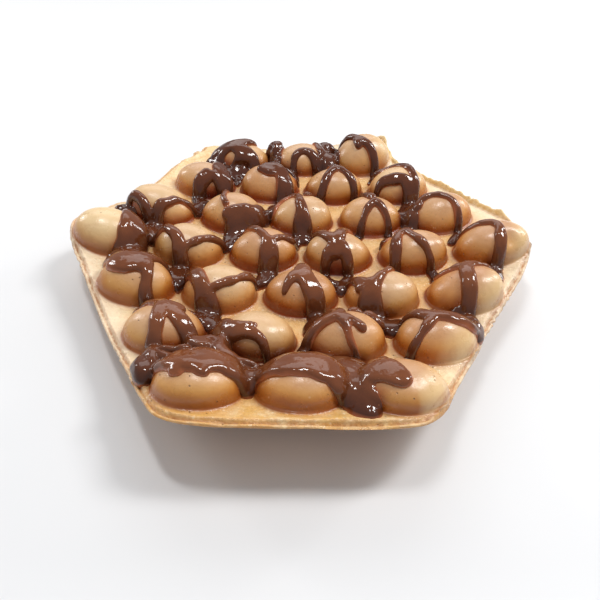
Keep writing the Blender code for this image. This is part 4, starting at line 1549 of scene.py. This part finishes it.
# %% Colour of the domes
CREAM = colour(236, 208, 158)
DARK_BAKED = colour(232, 196, 170)
STAIN_AND_SHADE = colour(184, 126, 84)
BLOTCH = colour(214, 168, 126)
FLOUR_SPECK = colour(246, 220, 180)


def dome_colour(tree, crown):
    """The gradient of an egg, with its tone, painted light on its right side, stain and painted shade
    between strands, and its specks.
    """
    shade = flank_colour(tree, crown)
    # tone holds how pale each egg baked, and near the right edge it also holds painted light
    tone = attribute(tree, "tone")
    paler = mixed(tree, ranged(tree, crown, 0.18, 0.8, 0.0, 0.8), shade, CREAM)
    shade = mixed(tree, ranged(tree, tone, 0.0, 1.0, 0.0, 0.9), shade, paler)
    shade = mixed(tree, ranged(tree, tone, -1.0, 0.0, 0.8, 0.0), shade, DARK_BAKED, "MULTIPLY")
    # painted light on the side of an egg that faces the right edge
    shade = mixed(tree, ranged(tree, attribute(tree, "pale"), 0.15, 0.7, 0.0, 0.6), shade, CREAM)
    # painted shade with stain: low on the dome, batter closed in by sauce is made browner
    low_in_shade = ranged(tree, crown, 0.45, 0.85, 1.0, 0.1)
    stained_and_shaded = maths(tree, "MULTIPLY", attribute(tree, "soaked_and_shaded"), low_in_shade)
    shade = mixed(tree, stained_and_shaded, shade, STAIN_AND_SHADE, "MULTIPLY")
    blotch = placed(tree, PATCHES, Scale=210.0, Roughness=0.65, Low=0.50, High=0.80)
    shade = part_mixed(tree, blotch, 0.35, shade, BLOTCH, "MULTIPLY")
    flour = placed(tree, SPECKS, Scale=420.0, Size=0.20, Share=0.16)
    return part_mixed(tree, flour, 0.22, shade, FLOUR_SPECK)


print("tones from", round(float(tones.min()), 1), "dark to", round(float(tones.max()), 1), "pale")

# %% [markdown]
# The sheet between the domes is thin, pale and full of small burst bubbles. It is a warm tan well
# inside, cream and floury along the sides and the back, and golden along the front. Round the
# foot of each egg it is darker: toasted where the iron pressed it thinnest, and painted contact
# shade in the crease.


# %% Colour of the sheet
SHEET_OUTSIDE, SHEET_INSIDE = colour(244, 218, 168), colour(236, 196, 138)
CLOUD = colour(228, 180, 116)
GOLDEN = colour(230, 178, 96)
TOASTED_FOOT_AND_SHADE = colour(210, 146, 80)
CRUMB = colour(216, 160, 92)
FLOUR = colour(250, 236, 212)
BURST_BUBBLE = colour(252, 238, 206)


def sheet_colour(tree):
    """Tan and cream, clouded, golden in front, toasted and with painted contact shade round the eggs, with
    burst bubbles.
    """
    shade = mixed(tree, attribute(tree, "inner"), SHEET_OUTSIDE, SHEET_INSIDE)
    cloud = placed(tree, PATCHES, Scale=150.0, Roughness=0.6, Low=0.40, High=0.62)
    shade = part_mixed(tree, cloud, 0.7, shade, CLOUD)
    toast = placed(tree, PATCHES, Scale=170.0, Roughness=0.6, Low=0.36, High=0.60)
    toast = maths(tree, "MULTIPLY", attribute(tree, "golden"), toast)
    shade = part_mixed(tree, toast, 0.9, shade, GOLDEN)
    # painted contact shade with toasting round the foot of each egg
    shade = part_mixed(tree, attribute(tree, "ring"), 0.6, shade, TOASTED_FOOT_AND_SHADE)
    crumb = placed(tree, PATCHES, Scale=620.0, Roughness=0.7, Low=0.46, High=0.62)
    shade = part_mixed(tree, crumb, 0.42, shade, CRUMB)
    shade = part_mixed(tree, attribute(tree, "floury"), 0.55, shade, FLOUR)
    burst = placed(tree, SPECKS, Scale=480.0, Size=0.28, Share=0.35)
    return part_mixed(tree, burst, 0.45, shade, BURST_BUBBLE)


print("points on the plain sheet:", batter.crowns.count(0.0), "of", len(batter.crowns))

# %% [markdown]
# The edge browned in lines: one along the lip, one in the groove, one on the flash. A ramp of
# greys over "edge" draws the lines, a noise breaks them, and the blade at the back gets its gilt.

# %% Brown lines along the edge
CRUST_LINES = (
    (0.44, 0.0),
    (0.52, 0.75),
    (0.60, 0.15),
    (0.69, 0.95),
    (0.78, 0.8),
    (0.85, 0.1),
    (1.0, 0.7),
)
CRUST = colour(176, 110, 52)
GILT = colour(234, 200, 128)


def with_crust(tree, shade):
    """Adds the brown lines and the gilt of the blade to the colour of the sheet."""
    stops = [(place, (grey, grey, grey, 1)) for place, grey in CRUST_LINES]
    lines = ramp(tree, attribute(tree, "edge"), stops)
    broken = placed(tree, PATCHES, Scale=330.0, Roughness=0.7, Low=0.30, High=0.55)
    shade = mixed(tree, maths(tree, "MULTIPLY", lines, broken), shade, CRUST)
    gilt = ranged(tree, attribute(tree, "blade"), 0.05, 0.5, 0.0, 0.75)
    return mixed(tree, gilt, shade, GILT)


print("lines along the edge:", sum(grey > 0.5 for _, grey in CRUST_LINES), "dark stops")

# %% [markdown]
# Now the parts come together. The underside baked a little darker. Pores are the same small specks
# as before, dark in colour and sunk in the relief, and the sheet is rougher than the domes.


# %% The finished batter
UNDERSIDE = colour(206, 142, 80)
PORE = colour(104, 56, 24)
BATTER_RELIEF = 0.22
BATTER_SPECULAR = 0.7


def batter_finish():
    """Baked batter: domes and sheet in one material, told apart by the crown attribute."""
    material, tree, surface = new_material("baked_batter")
    crown = attribute(tree, "crown")
    on_dome = ranged(tree, crown, 0.0, 0.045)
    base = with_crust(tree, mixed(tree, on_dome, sheet_colour(tree), dome_colour(tree, crown)))
    base = part_mixed(tree, attribute(tree, "under"), 0.35, base, UNDERSIDE)
    pores = placed(tree, SPECKS, Scale=400.0, Size=0.14, Share=0.30)
    wire(tree, part_mixed(tree, pores, 0.7, base, PORE), surface.inputs["Base Color"])
    gloss = placed(tree, PATCHES, Scale=200.0)
    wire(tree, ranged(tree, gloss, 0.0, 1.0, 0.24, 0.38), surface.inputs["Roughness"])
    fine = placed(tree, PATCHES, Scale=700.0, Roughness=0.65, Low=0.2, High=0.8)
    dimples = placed(tree, PATCHES, Scale=240.0, Roughness=0.6, Low=0.3, High=0.7)
    grain = maths(tree, "ADD", fine, maths(tree, "MULTIPLY", dimples, 1.6))
    rough = ranged(tree, crown, 0.0, 0.05, 1.0, 0.22)
    relief = maths(tree, "SUBTRACT", maths(tree, "MULTIPLY", grain, rough), pores)
    wire(tree, bumped(tree, relief, BATTER_RELIEF), surface.inputs["Normal"])
    surface.inputs["Specular IOR Level"].default_value = BATTER_SPECULAR
    return material


waffle.data.materials.append(batter_finish())
print("batter finish:", len(waffle.data.materials[0].node_tree.nodes), "nodes")

# %% [markdown]
# Chocolate sauce is opaque and very smooth. Where it is thin the tan batter warms it, low in the
# dips it is painted nearly black brown, partly for its depth and partly as painted shade, and on
# the back rows its crests get painted shade. Fat and air leave faint swirls and a few tiny
# bubbles. A slow unevenness in its surface breaks the window's reflection into the short bright
# streaks.


# %% The finished sauce
CREST, CREST_SWIRL = colour(104, 54, 27), colour(124, 70, 39)
BACK_CREST_SHADE = colour(76, 35, 17)
SUNK_SHADE, SUNK_SHADE_SWIRL = colour(51, 20, 9), colour(73, 33, 17)
THIN_BORDER = colour(168, 94, 56)
AIR_BUBBLE = colour(170, 110, 76)
SAUCE_RELIEF = 0.36
SAUCE_IOR = 1.5


def sauce_finish():
    """Chocolate sauce: brown on the crests, darker in the dips and at the back, and glossy."""
    material, tree, surface = new_material("chocolate_sauce")
    swirl = placed(tree, PATCHES, Scale=60.0, Roughness=0.6)
    crest = mixed(tree, swirl, CREST, CREST_SWIRL)
    # painted shade: the crests on the back rows are made darker
    crest = part_mixed(tree, attribute(tree, "back"), 0.7, crest, BACK_CREST_SHADE)
    # painted shade, partly the deep sauce's own darkness: low sauce is made darker
    sunk_in_shade = mixed(tree, swirl, SUNK_SHADE, SUNK_SHADE_SWIRL)
    shade = mixed(tree, ranged(tree, attribute(tree, "sunk_in_shade"), 0.15, 0.95), crest, sunk_in_shade)
    shade = mixed(tree, ranged(tree, attribute(tree, "thick"), 0.02, 0.42), THIN_BORDER, shade)
    bubbles = placed(tree, SPECKS, Scale=520.0, Size=0.16, Share=0.07)
    shade = part_mixed(tree, bubbles, 0.5, shade, AIR_BUBBLE)
    wire(tree, shade, surface.inputs["Base Color"])
    gloss = placed(tree, PATCHES, Scale=110.0)
    wire(tree, ranged(tree, gloss, 0.0, 1.0, 0.05, 0.12), surface.inputs["Roughness"])
    ripple = placed(tree, PATCHES, Scale=170.0, Roughness=0.42, Low=0.2, High=0.8)
    relief = maths(tree, "SUBTRACT", ripple, maths(tree, "MULTIPLY", bubbles, 0.3))
    wire(tree, bumped(tree, relief, SAUCE_RELIEF), surface.inputs["Normal"])
    surface.inputs["IOR"].default_value = SAUCE_IOR
    return material


sauce.data.materials.append(sauce_finish())
print("sauce finish:", len(sauce.data.materials[0].node_tree.nodes), "nodes")

# %% [markdown]
# The camera stands where the photograph was taken from: a little above forty degrees over the
# table and close, which makes the front row larger than the back one. The three turns are given
# apart, because "a little to the right" and "a little tilted" are easier to correct than a matrix.

# %% The camera
CAMERA_FROM = (-3.5, -200.4, 160.0)
CAMERA_YAW, CAMERA_DOWN, CAMERA_ROLL = 1.17, 40.93, 2.32
LENS = 34.46
FILM_WIDTH = 36.0
NEAR_LIMIT = 0.01

camera = bpy.data.objects.new("camera", bpy.data.cameras.new("camera"))
camera.data.lens = LENS
camera.data.sensor_width = FILM_WIDTH
camera.data.clip_start = NEAR_LIMIT
camera.matrix_world = (Matrix.Translation(Vector(CAMERA_FROM) * MM)
                       @ Matrix.Rotation(math.radians(-CAMERA_YAW), 4, "Z")
                       @ Matrix.Rotation(math.radians(90 - CAMERA_DOWN), 4, "X")
                       @ Matrix.Rotation(math.radians(CAMERA_ROLL), 4, "Z"))
bpy.context.scene.collection.objects.link(camera)
bpy.context.scene.camera = camera
print("camera", round(Vector(CAMERA_FROM).length), "mm from the waffle's middle, lens", LENS, "mm")

# %% [markdown]
# Food looks wet by its reflections. A bright white room gives the soft shade, and small windows
# above and low at both sides draw the short streaks on the sauce. One big light would be simpler,
# but it would lay a single flat glare over every strand.


# %% Light from a bright room
LIGHT_TARGET = (0, 0, 0.02)
ROOM_COLOUR = (0.95, 0.97, 1.0, 1.0)
ROOM_STRENGTH = 0.42


def panel(name, place, size, power):
    """A soft panel of light, in metres and watts, that faces the waffle."""
    light = bpy.data.lights.new(name, "AREA")
    light.shape = "RECTANGLE"
    light.size, light.size_y = size
    light.energy = power
    item = bpy.data.objects.new(name, light)
    item.location = place
    item.rotation_euler = (Vector(LIGHT_TARGET) - Vector(place)).to_track_quat("-Z", "Y").to_euler()
    bpy.context.scene.collection.objects.link(item)
    return item


panels = (
    panel("window_right", (0.52, 0.16, 0.80), (0.16, 0.30), 4.6),
    panel("ceiling_left", (-0.12, 0.10, 0.95), (0.07, 0.22), 2.6),
    panel("wall_behind", (-0.1, 1.25, 1.0), (1.6, 0.8), 6.5),
    panel("low_window_left", (-0.70, 0.42, 0.36), (0.10, 0.26), 1.3),
    panel("low_window_right", (0.74, 0.44, 0.38), (0.10, 0.26), 1.5),
)
world = bpy.data.worlds.new("bright_room")
world.use_nodes = True
room_light = world.node_tree.nodes["Background"]
room_light.inputs["Color"].default_value = ROOM_COLOUR
room_light.inputs["Strength"].default_value = ROOM_STRENGTH
bpy.context.scene.world = world
bpy.context.scene.view_settings.view_transform = "Standard"
print(len(panels), "panels,", round(sum(item.data.energy for item in panels), 1), "watts")

# %% [markdown]
# The floor is only there to take the shadow. It is a plain pale square, large enough that its far
# edge stays out of sight, and it isn't part of the waffle.

# %% The floor
FLOOR_REACH = 20.0
FLOOR_COLOUR = (0.77, 0.77, 0.775, 1)
FLOOR_ROUGHNESS = 0.7

corners = [(-FLOOR_REACH, -FLOOR_REACH, 0), (FLOOR_REACH, -FLOOR_REACH, 0),
           (FLOOR_REACH, FLOOR_REACH, 0), (-FLOOR_REACH, FLOOR_REACH, 0)]
floor_mesh = bpy.data.meshes.new("floor")
floor_mesh.from_pydata(corners, [], [(0, 1, 2, 3)])
floor = bpy.data.objects.new("floor", floor_mesh)
bpy.context.scene.collection.objects.link(floor)
paint, _, floor_surface = new_material("floor_white")
floor_surface.inputs["Base Color"].default_value = FLOOR_COLOUR
floor_surface.inputs["Roughness"].default_value = FLOOR_ROUGHNESS
floor_mesh.materials.append(paint)
print("floor", 2 * FLOOR_REACH, "m across")
